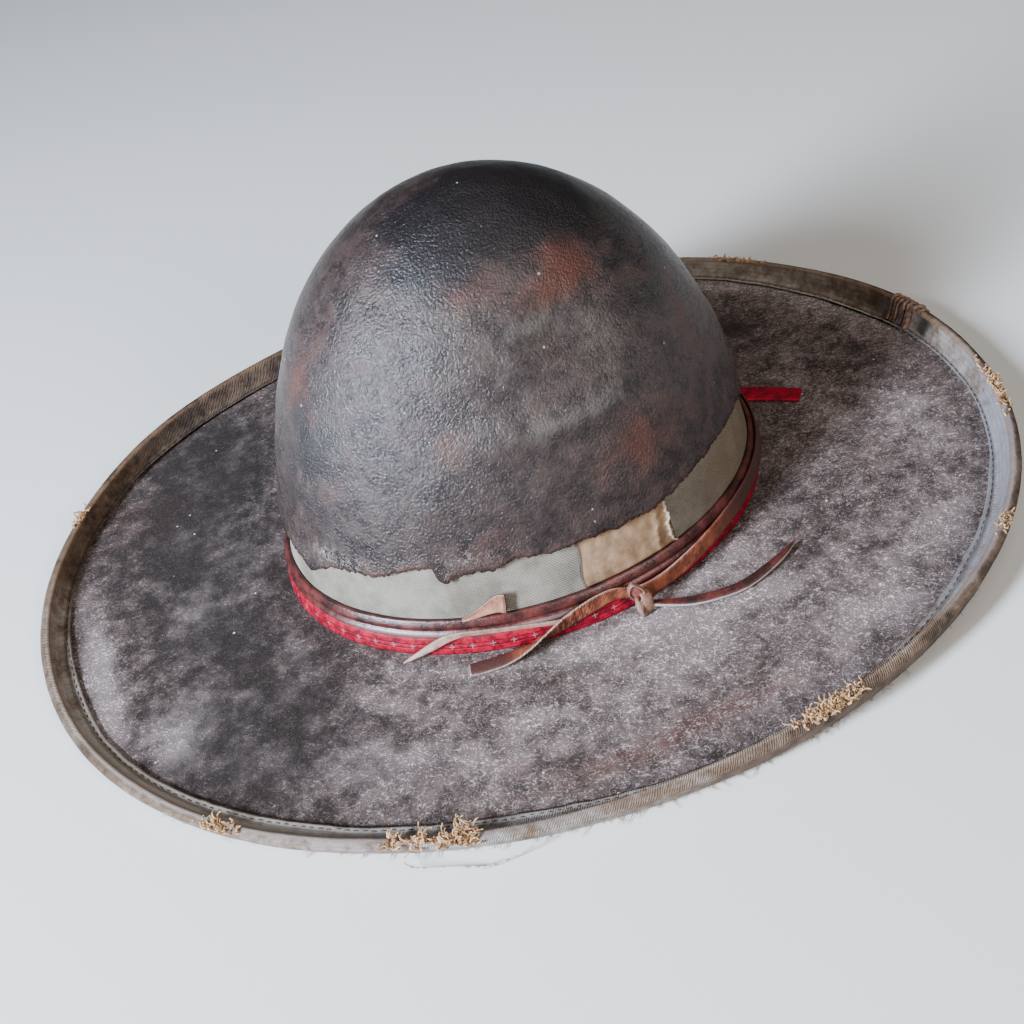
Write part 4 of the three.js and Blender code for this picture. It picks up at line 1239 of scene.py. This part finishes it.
# Patch: a piece of tan suede laid over the ribbon, its right edge torn and turned up, with a short
# rubbed crease beside it and a dark, fuzzy seam at its left.
PATCH_LOW_Z = 0.0188
PATCH_UNDER_EDGE = 0.0012
PATCH_OUT = 0.0018
PATCH_THICK = 0.0009
PATCH_START = -90.2
PATCH_END = -67.3
PATCH_STEPS = 80
PATCH_ROWS = 26

patch_share = np.linspace(0, 1, PATCH_ROWS)[None, :]
along_patch = np.linspace(0, 1, PATCH_STEPS)[:, None]
straight_degrees = PATCH_START + (PATCH_END - PATCH_START) * along_patch
torn_side = 0.5 * np.sin(patch_share * 8 + 2) + 0.35 * np.sin(patch_share * 21 + 1)
torn_side = torn_side + 0.3 * np.sin(patch_share * 47)
patch_degrees = straight_degrees + torn_side * along_patch ** 4 * 0.8
patch_degrees = patch_degrees - 0.4 * np.sin(patch_share * 6) * (1 - along_patch) ** 4
patch_top = np.interp(straight_degrees, edge_degrees, edge_heights) - PATCH_UNDER_EDGE
patch_z = PATCH_LOW_Z + (patch_top - PATCH_LOW_Z) * patch_share
crease = np.exp(-((along_patch - 0.82 - 0.05 * patch_share) / 0.03) ** 2)
crease = crease * 0.0006 * np.sin(math.pi * patch_share) ** 0.5
curl = np.clip((along_patch - 0.94) / 0.06, 0, 1) ** 2 * 0.0008
lift = crease + curl + 0.00010 * np.sin(along_patch * 40) * np.sin(patch_share * 5)
edges = np.minimum(1, np.minimum(patch_share, 1 - patch_share) / 0.06 + 0.4)
patch_out = PATCH_OUT + PATCH_THICK * edges + lift
patch_face = collar_point(np.radians(patch_degrees), patch_z, patch_out)
patch_back = collar_point(np.radians(patch_degrees), patch_z, PATCH_OUT + curl * 0.8 + 0 * patch_share)
patch_grid = np.concatenate([patch_face, patch_back[:, ::-5]], axis=1)
patch = skin("band_patch", patch_grid, ring=False)
rub_edge = np.exp(-((along_patch - 0.985) / 0.018) ** 2) + 0 * patch_share
rub_crease = np.exp(-((along_patch - 0.85 - 0.03 * patch_share) / 0.012) ** 2)
rub_crease = rub_crease * np.exp(-((patch_share - 0.62) / 0.25) ** 2)
seam = np.exp(-(along_patch / 0.022) ** 2) + 0 * patch_share
back_columns = patch_grid.shape[1] - PATCH_ROWS
store(patch.data, "rub", np.pad(rub_edge + 0.75 * rub_crease, ((0, 0), (0, back_columns))))
store(patch.data, "seam", np.pad(seam, ((0, 0), (0, back_columns))))
patch_material, tree, suede = new_material("patch_suede")
place = node(tree, "ShaderNodeTexCoord").outputs["Object"]
nap = node(tree, "ShaderNodeTexNoise",
           {"Vector": place, "Scale": 120.0, "Detail": 8.0, "Roughness": 0.72})
ragged = calc(tree, "MULTIPLY_ADD", nap.outputs["Fac"], 1.4, -0.7)
napped = between(tree, nap.outputs["Fac"], 0.3, 0.7)
colour = mixed(tree, napped, (0.125, 0.070, 0.036, 1), (0.315, 0.200, 0.120, 1))
rub = between(tree, calc(tree, "ADD", attribute(tree, "rub"), ragged), 0.35, 1.0)
colour = mixed(tree, calc(tree, "MULTIPLY", rub, 0.8), colour, (0.52, 0.42, 0.32, 1))
dark_seam = between(tree, calc(tree, "ADD", attribute(tree, "seam"), ragged), 0.35, 0.9)
colour = mixed(tree, calc(tree, "MULTIPLY", dark_seam, 0.85), colour, (0.030, 0.022, 0.018, 1))
tree.links.new(colour, suede.inputs["Base Color"])
suede.inputs["Roughness"].default_value = 0.9
suede.inputs["Specular IOR Level"].default_value = 0.25
bump = node(tree, "ShaderNodeBump", {"Strength": 0.6, "Distance": 0.0006, "Height": nap.outputs["Fac"]})
tree.links.new(bump.outputs["Normal"], suede.inputs["Normal"])
patch.data.materials.append(patch_material)
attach(patch, "root")
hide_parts("band_patch")

# Lace strap: a narrow doubled strap of dark red-brown leather, all the way round over the ribbon.
# A groove along it parts its upper half from its lower half, which is painted paler at the front left
# as a highlight.
STRAP_LOW_Z = 0.0106
STRAP_TOP_Z = 0.0184
STRAP_THICK = 0.0018


def leather_group():
    """Leather's look: fine pores, wear in soft patches, and wrinkles across the strip's length."""
    group = bpy.data.node_groups.new("leather_grain", "ShaderNodeTree")
    for name in ("Grain", "Wrinkles", "Wear"):
        group.interface.new_socket(name, in_out="OUTPUT", socket_type="NodeSocketFloat")
    surface = node(group, "ShaderNodeUVMap", uv_map="surface").outputs["UV"]
    place = node(group, "ShaderNodeTexCoord").outputs["Object"]
    pores = node(group, "ShaderNodeTexNoise", {"Vector": place, "Scale": 1500.0, "Detail": 3.0})
    across = node(group, "ShaderNodeMapping",
                  {"Vector": surface, "Rotation": (0, 0, 0.5), "Scale": (1 / 950.0, 1 / 260.0, 1.0)},
                  vector_type="TEXTURE")
    wrinkle = node(group, "ShaderNodeTexNoise",
                   {"Vector": across.outputs[0], "Scale": 1.0, "Detail": 1.5})
    wear = node(group, "ShaderNodeTexNoise",
                {"Vector": place, "Scale": 150.0, "Detail": 5.0, "Roughness": 0.65})
    leave = node(group, "NodeGroupOutput")
    group.links.new(pores.outputs["Fac"], leave.inputs["Grain"])
    group.links.new(between(group, wrinkle.outputs["Fac"], 0.38, 0.56), leave.inputs["Wrinkles"])
    group.links.new(wear.outputs["Fac"], leave.inputs["Wear"])
    return group


LEATHER_GRAIN = leather_group()


def leather(name, dark, light, roughness, edge=None, second=None):
    """Strap leather from a dark and a worn colour. Cut edges and marked stretches take their own."""
    material, tree, hide = new_material(name)
    grain = node(tree, "ShaderNodeGroup", node_tree=LEATHER_GRAIN)
    pores, wrinkles, wear = (grain.outputs[part] for part in ("Grain", "Wrinkles", "Wear"))
    creased = calc(tree, "MULTIPLY", calc(tree, "SUBTRACT", 1.0, wrinkles), attribute(tree, "creased"))
    patchy = calc(tree, "MULTIPLY_ADD", wear, 0.9, -0.45)
    colour = mixed(tree, between(tree, wear, 0.35, 0.68), (*dark, 1), (*light, 1))
    if second is not None:
        marked = between(tree, calc(tree, "ADD", attribute(tree, "second"), patchy), 0.2, 0.8)
        colour = mixed(tree, marked, colour, (*second, 1))
    in_crease = (*[part * 0.2 for part in dark], 1)
    colour = mixed(tree, calc(tree, "MULTIPLY", creased, 0.75), colour, in_crease)
    if edge is not None:
        pale = between(tree, calc(tree, "ADD", attribute(tree, "cut"), patchy), 0.4, 0.8)
        colour = mixed(tree, pale, colour, (*edge, 1))
    tree.links.new(colour, hide.inputs["Base Color"])
    tree.links.new(calc(tree, "MULTIPLY_ADD", wear, 0.3, roughness - 0.15), hide.inputs["Roughness"])
    raised = calc(tree, "ADD", pores, calc(tree, "MULTIPLY", wear, 2.0))
    raised = calc(tree, "SUBTRACT", raised, calc(tree, "MULTIPLY", creased, 3.0))
    bump = node(tree, "ShaderNodeBump", {"Strength": 0.5, "Distance": 0.0003, "Height": raised})
    tree.links.new(bump.outputs["Normal"], hide.inputs["Normal"])
    return material


def strap_relief(angle, z, share):
    """The groove, deepest at the front left, and a slightly uneven face."""
    groove = np.exp(-((share - 0.46) / 0.10) ** 2)
    depth = 0.0004 + 0.0006 * np.exp(-((turned(angle) + 125) / 55) ** 2)
    bulge = 0.0005 * np.sin(math.pi * share) + 0.0004 * np.exp(-((share - 0.2) / 0.16) ** 2)
    return bulge - depth * groove + 0.00010 * np.sin(7 * angle + 1) + 0.00007 * np.sin(19 * angle)


strap_grid = band_grid(
    band_angles, STRAP_LOW_Z, STRAP_TOP_Z, PATCH_OUT, STRAP_THICK, 16, strap_relief,
)
strap = skin("lace_strap", strap_grid)
strap_columns = np.arange(strap_grid.shape[1])[None, :] + 0 * band_angles
# Painted highlight: the strap's lower half turns pale at the front left
store(strap.data, "second", (strap_columns < 6) * np.exp(-((turned(band_angles) + 122) / 32) ** 2))
DARK_LEATHER = leather("dark_leather", (0.022, 0.006, 0.006), (0.095, 0.020, 0.016), 0.32,
                       second=(0.15, 0.100, 0.095))
strap.data.materials.append(DARK_LEATHER)
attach(strap, "root")
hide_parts("lace_strap")

# Wide strap: an orange-brown strip that comes round from the right, passes behind the knot, and
# runs out over the brim as a wrinkled tail with a slanting cut end.
WIDE_OUT = 0.0039
WIDE_WIDTH = 0.0076
WIDE_START = 66
WIDE_END = -76
WIDE_RING_STEPS = 150
WIDE_TAIL_STEPS = 110
WIDE_JOIN_STEPS = 14
LACE_POINTS = 11
# Angle round the hat, distance out from the collar's foot, height, width, lean from upright
WIDE_STRAP_TAIL = [
    (-78, 0.0047, 0.0084, 0.0060, -8),
    (-81.5, 0.0033, 0.0112, 0.0050, -8),
    (-85, 0.0026, 0.0134, 0.0056, -8),
    (-89.4, 0.0028, 0.0130, 0.0066, -6),
    (-94, 0.0035, 0.0112, 0.0072, 2),
    (-97.8, 0.0044, 0.0092, 0.0078, 16),
    (-101.5, 0.0059, 0.0072, 0.0080, 36),
    (-105.5, 0.0080, 0.0055, 0.0078, 60),
    (-109.4, 0.0101, 0.0046, 0.0074, 78),
    (-113.2, 0.0117, 0.0042, 0.0068, 86),
    (-116.6, 0.0129, 0.0041, 0.0062, 88),
]
# Height of the strap's middle before the tail, by angle
WIDE_FALL = [
    (-76, 0.0074), (-72, 0.0082), (-67, 0.0098), (-60, 0.0115), (-52, 0.0126), (-42, 0.0130),
]


def route(table, steps):
    """A lace's run through the rows of its table: centres, widths and leans."""
    made = smooth_line(table, steps)
    angle = np.radians(made[:, 0])
    x = (COLLAR_HALF_LENGTH + made[:, 1]) * np.cos(angle) + CROWN_X
    y = (COLLAR_HALF_WIDTH + made[:, 1]) * np.sin(angle)
    return np.stack([x, y, made[:, 2]], axis=1), made[:, 3], np.radians(made[:, 4])


def lace_grid(centres, width, lean, thick, cup=0.0, wrinkle=None):
    """A flat lace with rounded edges. Its width leans from upright (0) to flat, outer edge out (90)."""
    along = np.gradient(centres, axis=0)
    along[:, 2] = 0
    along /= np.linalg.norm(along, axis=1, keepdims=True)
    outward = np.stack([-along[:, 1], along[:, 0], 0 * along[:, 0]], axis=1)
    outward *= np.sign(np.einsum("ij,ij->i", outward, centres))[:, None]
    up = np.array([[0.0, 0.0, 1.0]])
    across = outward * np.sin(lean)[:, None] + up * np.cos(lean)[:, None]
    through = outward * np.cos(lean)[:, None] - up * np.sin(lean)[:, None]
    s = np.linspace(-1, 1, LACE_POINTS)
    bulge = np.sqrt(1 - (0.96 * s) ** 4)
    s = np.concatenate([s, s[::-1]])[None, :]
    bulge = np.concatenate([bulge, -bulge])[None, :]
    half_width = width[:, None] / 2
    half_thick = np.minimum(thick / 2, half_width * 0.6)
    lift = cup * (s ** 2 - 0.4)
    if wrinkle is not None:
        lift = lift + wrinkle[:, None] * (1 - s ** 2)
    offset_through = bulge * half_thick + lift
    return (centres[:, None, :] + across[:, None, :] * (s * half_width)[..., None]
            + through[:, None, :] * offset_through[..., None])


def lace_marks(mesh, rows, cut_side, end_rows=0, cut_part=1.0):
    """Stores where a lace's pale cut edge shows: along one side, and over its last rows."""
    s = np.linspace(-1, 1, LACE_POINTS)
    s = np.concatenate([s, s[::-1]])[None, :] * cut_side
    edge = np.clip((s - 0.80) / 0.12, 0, 1) * (np.ones(rows) * cut_part)[:, None]
    end = np.clip(np.arange(rows)[:, None] - (rows - 1 - end_rows), 0, 1)
    store(mesh, "cut", np.maximum(edge, end))


ring_share = np.linspace(0, 1, WIDE_RING_STEPS)
ring_degrees = WIDE_START + (WIDE_END - WIDE_START) * ring_share
near_knot = np.clip((-ring_degrees - 30) / 46, 0, 1) ** 1.5
ring_middle = np.interp(ring_degrees, *np.array(WIDE_FALL).T)
ring_out = WIDE_OUT + STRAP_THICK / 2 + 0.0008 * near_knot
ring_centres = collar_point(np.radians(ring_degrees), ring_middle, ring_out)
tail_centres, tail_width, tail_lean = route(WIDE_STRAP_TAIL, WIDE_TAIL_STEPS)
wide_centres = np.concatenate([ring_centres, tail_centres])
wide_width = np.concatenate([WIDE_WIDTH - 0.0006 * near_knot, tail_width])
wide_lean = np.concatenate([np.full(WIDE_RING_STEPS, math.radians(-11.5)), tail_lean])
join = slice(WIDE_RING_STEPS - WIDE_JOIN_STEPS, WIDE_RING_STEPS + WIDE_JOIN_STEPS)
for values in (wide_centres, wide_width, wide_lean):
    for _ in range(30):
        values[join] = (values[join.start - 1:join.stop - 1] + values[join.start + 1:join.stop + 1]) / 2
wide_rows = WIDE_RING_STEPS + WIDE_TAIL_STEPS
wide_degrees = turned(np.arctan2(wide_centres[:, 1], wide_centres[:, 0] - CROWN_X))
in_tail = np.exp(-((wide_degrees + 99) / 7.5) ** 2)
crumple = in_tail * 0.00035 * np.random.default_rng(20).normal(size=wide_rows)
wide_grid = lace_grid(wide_centres, wide_width, wide_lean, STRAP_THICK * 0.8, 0.0003, crumple)
wide_strap = skin("wide_strap", wide_grid, ring=False)
lace_marks(wide_strap.data, wide_rows, 1, 2, cut_part=np.clip((-wide_degrees - 40) / 30, 0.25, 0.8))
store(wide_strap.data, "creased", (in_tail + 0.15)[:, None] + 0 * wide_grid[..., 0])
toward_right = np.clip((wide_degrees + 62) / 30, 0, 1)
toward_end = np.clip((-wide_degrees - 108) / 6, 0, 1) * 0.8
store(wide_strap.data, "second", np.maximum(toward_right, toward_end)[:, None] + 0 * wide_grid[..., 0])
TAN_LEATHER = leather("tan_leather", (0.085, 0.020, 0.010), (0.280, 0.080, 0.036), 0.42,
                      edge=(0.25, 0.17, 0.125), second=(0.050, 0.020, 0.017))
wide_strap.data.materials.append(TAN_LEATHER)
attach(wide_strap, "root")
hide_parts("wide_strap")

# Knot laces: a dark lace comes out of the knot and lies on the brim to its pointed tip, its cut
# side showing pale. Of a paler lace, one end is tucked up over the strap, widening to a curled
# flap, and one runs along under the strap and lies down to a point.
LACE_THICK = 0.0019
PALE_THICK = 0.0011
# Rows as for the wide strap's tail
KNOT_LACE = [
    (-79.2, 0.0081, 0.0062, 0.0030, 70),
    (-75.5, 0.0123, 0.0046, 0.0036, 86),
    (-71.7, 0.0176, 0.0041, 0.0042, 94),
    (-67.6, 0.0224, 0.0041, 0.0044, 96),
    (-63.1, 0.0264, 0.0041, 0.0044, 96),
    (-57, 0.0286, 0.0043, 0.0038, 94),
    (-52.8, 0.0298, 0.0046, 0.0026, 90),
    (-49.8, 0.0304, 0.0050, 0.0006, 84),
]
PALE_LACE_RUN = [
    (-94, 0.0031, 0.0100, 0.0018, -8),
    (-98, 0.0030, 0.0106, 0.0019, -8),
    (-103, 0.0028, 0.0121, 0.0020, -8),
    (-108.5, 0.0026, 0.0131, 0.0021, -8),
    (-114, 0.0025, 0.0135, 0.0023, -8),
    (-118.3, 0.0026, 0.0133, 0.0026, -10),
    (-121.3, 0.0031, 0.0122, 0.0034, -18),
    (-124.2, 0.0039, 0.0098, 0.0036, -30),
    (-127, 0.0051, 0.0072, 0.0028, -38),
    (-129.6, 0.0070, 0.0050, 0.0017, -42),
    (-131.6, 0.0087, 0.0034, 0.0006, -44),
]
PALE_LACE_CURL = [
    (-117.6, -0.0004, 0.0184, 0.0016, -12),
    (-115.1, -0.0008, 0.0198, 0.0030, -12),
    (-112.8, -0.0011, 0.0215, 0.0046, -12),
    (-110.5, -0.0012, 0.0232, 0.0066, -12),
    (-108.8, -0.0009, 0.0242, 0.0082, -12),
    (-107.3, 0.0003, 0.0244, 0.0088, -12),
]


def lace(name, table, thick, steps, material, cut_side=1, end_rows=0, cup=0.0):
    """A whole lace from its table, under the name of the solid that it stands for."""
    centres, width, lean = route(table, steps)
    made = skin(name, lace_grid(centres, width, lean, thick, cup), ring=False)
    lace_marks(made.data, steps, cut_side, end_rows)
    made.data.materials.append(material)
    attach(made, "root")
    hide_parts(name)


LACE_LEATHER = leather("dark_lace", (0.018, 0.007, 0.006), (0.105, 0.018, 0.015), 0.42,
                       edge=(0.30, 0.265, 0.255))
PALE_LEATHER = leather("pale_leather", (0.15, 0.072, 0.054), (0.33, 0.19, 0.145), 0.5,
                       edge=(0.46, 0.37, 0.33))
FLAP_LEATHER = leather("flap_leather", (0.20, 0.078, 0.046), (0.38, 0.185, 0.115), 0.5,
                       edge=(0.12, 0.046, 0.028))
lace("knot_lace", KNOT_LACE, LACE_THICK, 90, LACE_LEATHER)
lace("pale_lace_tip", PALE_LACE_RUN, PALE_THICK, 120, PALE_LEATHER, cut_side=-1)
lace("pale_lace_curl", PALE_LACE_CURL, PALE_THICK, 50, FLAP_LEATHER,
     end_rows=5, cup=0.0006)

# Red band: a strip of crimson leather at the collar's foot, tooled with two lines and a row of small
# crosses. Its cut end lies on the brim behind the crown.
RED_LOW_Z = 0.0027
RED_TOP_Z = 0.0102
RED_THICK = 0.0015
CROSS_PITCH = 0.0082
# Height of the two tooled lines above the strip's lower edge
RED_LINES = (0.0030, 0.0048)
# Rows as for the wide strap's tail
RED_BAND_TAIL = [
    (7.4, 0.0066, 0.0039, 0.0094, 88),
    (5.2, 0.0130, 0.0038, 0.0094, 88),
    (1.2, 0.0220, 0.0038, 0.0092, 88),
    (-2.2, 0.0310, 0.0038, 0.0088, 88),
]

red_section = band_grid(band_angles, RED_LOW_Z, RED_TOP_Z, PATCH_OUT, RED_THICK, 13)
red_band = skin("red_band", red_section)
red_material, tree, hide = new_material("red_leather")
surface = node(tree, "ShaderNodeUVMap", uv_map="surface").outputs["UV"]
split = node(tree, "ShaderNodeSeparateXYZ", {"Vector": surface})
place = node(tree, "ShaderNodeTexCoord").outputs["Object"]
wear = node(tree, "ShaderNodeTexNoise",
            {"Vector": place, "Scale": 260.0, "Detail": 6.0, "Roughness": 0.7})
wobble = calc(tree, "MULTIPLY_ADD", wear.outputs["Fac"], 0.0012, -0.0006)
across_at = calc(tree, "ADD", split.outputs["Y"], wobble)
tooled = None
for line_at in RED_LINES:
    off = calc(tree, "ABSOLUTE", calc(tree, "SUBTRACT", across_at, line_at))
    line = between(tree, off, 0.0004, 0.0001)
    tooled = line if tooled is None else calc(tree, "MAXIMUM", tooled, line)
along_at = calc(tree, "WRAP", split.outputs["X"], CROSS_PITCH / 2, -CROSS_PITCH / 2)
off_along = calc(tree, "ABSOLUTE", along_at)
off_across = calc(tree, "ABSOLUTE", calc(tree, "SUBTRACT", across_at, sum(RED_LINES) / 2))
arm = calc(tree, "MINIMUM", off_along, off_across)
arm_reach = calc(tree, "MAXIMUM", off_along, off_across)
on_arm = between(tree, arm, 0.00035, 0.00012)
cross = calc(tree, "MULTIPLY", on_arm, between(tree, arm_reach, 0.0013, 0.0010))
worn = between(tree, wear.outputs["Fac"], 0.38, 0.62)
colour = mixed(tree, worn, (0.10, 0.001, 0.007, 1), (0.33, 0.002, 0.020, 1))
near_edge = calc(tree, "ADD", wear.outputs["Fac"], calc(tree, "MULTIPLY", across_at, -90.0))
nicks = between(tree, near_edge, 0.50, 0.58)
colour = mixed(tree, calc(tree, "MULTIPLY", nicks, 0.8), colour, (0.035, 0.004, 0.008, 1))
colour = mixed(tree, calc(tree, "MULTIPLY", tooled, 0.75), colour, (0.085, 0.002, 0.010, 1))
colour = mixed(tree, calc(tree, "MULTIPLY", cross, 0.85), colour, (0.22, 0.13, 0.14, 1))
tree.links.new(colour, hide.inputs["Base Color"])
hide.inputs["Roughness"].default_value = 0.5
hide.inputs["Specular IOR Level"].default_value = 0.2
pressed = calc(tree, "MAXIMUM", tooled, cross)
raised = calc(tree, "SUBTRACT", calc(tree, "MULTIPLY", wear.outputs["Fac"], 2.5), pressed)
bump = node(tree, "ShaderNodeBump", {"Strength": 0.7, "Distance": 0.0003, "Height": raised})
tree.links.new(bump.outputs["Normal"], hide.inputs["Normal"])
red_band.data.materials.append(red_material)
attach(red_band, "root")
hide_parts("red_band")
lace("red_band_tail", RED_BAND_TAIL, RED_THICK, 40, red_material)

# Knot: the pale lace is wound round the straps, doubled into a small open loop at the left, and
# drawn tight. A dark red end pokes out below.
KNOT_ANGLE = math.radians(-79.6)
KNOT_OUT = 0.0072
KNOT_Z = 0.0068
LOOP_SIDE = -0.0026
LOOP_Z = 0.0066
LOOP_OUT = -0.0002
RING_SIDE = -0.0022
RING_Z = -0.0006
TURN_STEPS = 56
knot_out = np.array([
    math.cos(KNOT_ANGLE) * COLLAR_HALF_WIDTH, math.sin(KNOT_ANGLE) * COLLAR_HALF_LENGTH, 0,
])
knot_out /= np.linalg.norm(knot_out)
knot_side = np.array([-knot_out[1], knot_out[0], 0])
knot_up = np.array([0, 0, 1.0])
knot_centre = np.array([
    (COLLAR_HALF_LENGTH + KNOT_OUT) * math.cos(KNOT_ANGLE) + CROWN_X,
    (COLLAR_HALF_WIDTH + KNOT_OUT) * math.sin(KNOT_ANGLE),
    KNOT_Z,
])


def rounded(values, power):
    """Sines or cosines bent towards a box (power below 1) or a diamond (power above 1)."""
    return np.sign(values) * np.abs(values) ** power


def wrap_shape(t):
    """The wide turn round both straps: offsets to the side, out and up."""
    return 0.0006 * np.sin(t), 0.0033 * np.cos(t), 0.0046 * rounded(np.sin(t), 0.8)


def ring_shape(t):
    """The narrow turn beside it."""
    side = -0.0012 * np.cos(t) - 0.0010 * np.sin(t)
    return side, 0.0039 * np.cos(t), 0.0050 * rounded(np.sin(t), 0.8)


def loop_shape(t):
    """The small open loop, pointed at its top and foot."""
    side = 0.0028 * rounded(np.cos(t), 1.4) - 0.0012 * np.sin(t)
    return side, 0.0005 * np.cos(t), 0.0050 * rounded(np.sin(t), 1.25)


def knot_turn(name, middle, shape, width, thick, material):
    """A closed turn of flat lace about a middle point, along one of the shapes above."""
    side, out, up = shape(np.linspace(0, 2 * math.pi, TURN_STEPS, endpoint=False))
    offset = side[:, None] * knot_side + out[:, None] * knot_out + up[:, None] * knot_up
    along = np.roll(offset, -1, axis=0) - np.roll(offset, 1, axis=0)
    along /= np.linalg.norm(along, axis=1, keepdims=True)
    across = np.cross(along, offset)
    across /= np.linalg.norm(across, axis=1, keepdims=True)
    through = np.cross(across, along)
    ring = np.linspace(0, 2 * math.pi, 14, endpoint=False)
    flat = rounded(np.cos(ring), 0.7) * width / 2
    deep = rounded(np.sin(ring), 0.7) * thick / 2
    grid = (middle + offset[:, None, :] + across[:, None, :] * flat[None, :, None]
            + through[:, None, :] * deep[None, :, None])
    made = skin(name, grid)
    made.data.materials.append(material)
    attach(made, "root")
    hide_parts("knot")


loop_middle = knot_centre + knot_side * LOOP_SIDE + knot_up * LOOP_Z + knot_out * LOOP_OUT
WRAP_LEATHER = leather("wrap_leather", (0.115, 0.048, 0.030), (0.300, 0.165, 0.110), 0.5)
ring_centre = knot_centre + knot_side * RING_SIDE + knot_up * RING_Z
knot_turn("knot_wrap", knot_centre, wrap_shape, 0.0046, 0.0012, WRAP_LEATHER)
knot_turn("knot_ring", ring_centre, ring_shape, 0.0014, 0.0010, PALE_LEATHER)
knot_turn("knot_loop", loop_middle, loop_shape, 0.0022, 0.0008, PALE_LEATHER)
pad_rows = np.linspace(0.15, math.pi - 0.15, 10)[:, None]
pad_ring = np.linspace(0, 2 * math.pi, 16, endpoint=False)[None, :]
pad_side = 0.0022 * np.sin(pad_rows) * np.cos(pad_ring) - 0.0010 * np.cos(pad_rows)
pad_out = 0.0006 * np.sin(pad_rows) * np.sin(pad_ring)
pad_up = 0.0043 * np.cos(pad_rows) + 0 * pad_ring
pad_grid = (loop_middle + pad_side[..., None] * knot_side + pad_out[..., None] * knot_out
            + pad_up[..., None] * knot_up)
loop_fill = skin("knot_fill", pad_grid, ring=False)
LOOP_LEATHER = leather("loop_inside", (0.22, 0.060, 0.050), (0.42, 0.150, 0.125), 0.45)
loop_fill.data.materials.append(LOOP_LEATHER)
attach(loop_fill, "root")
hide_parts("knot")
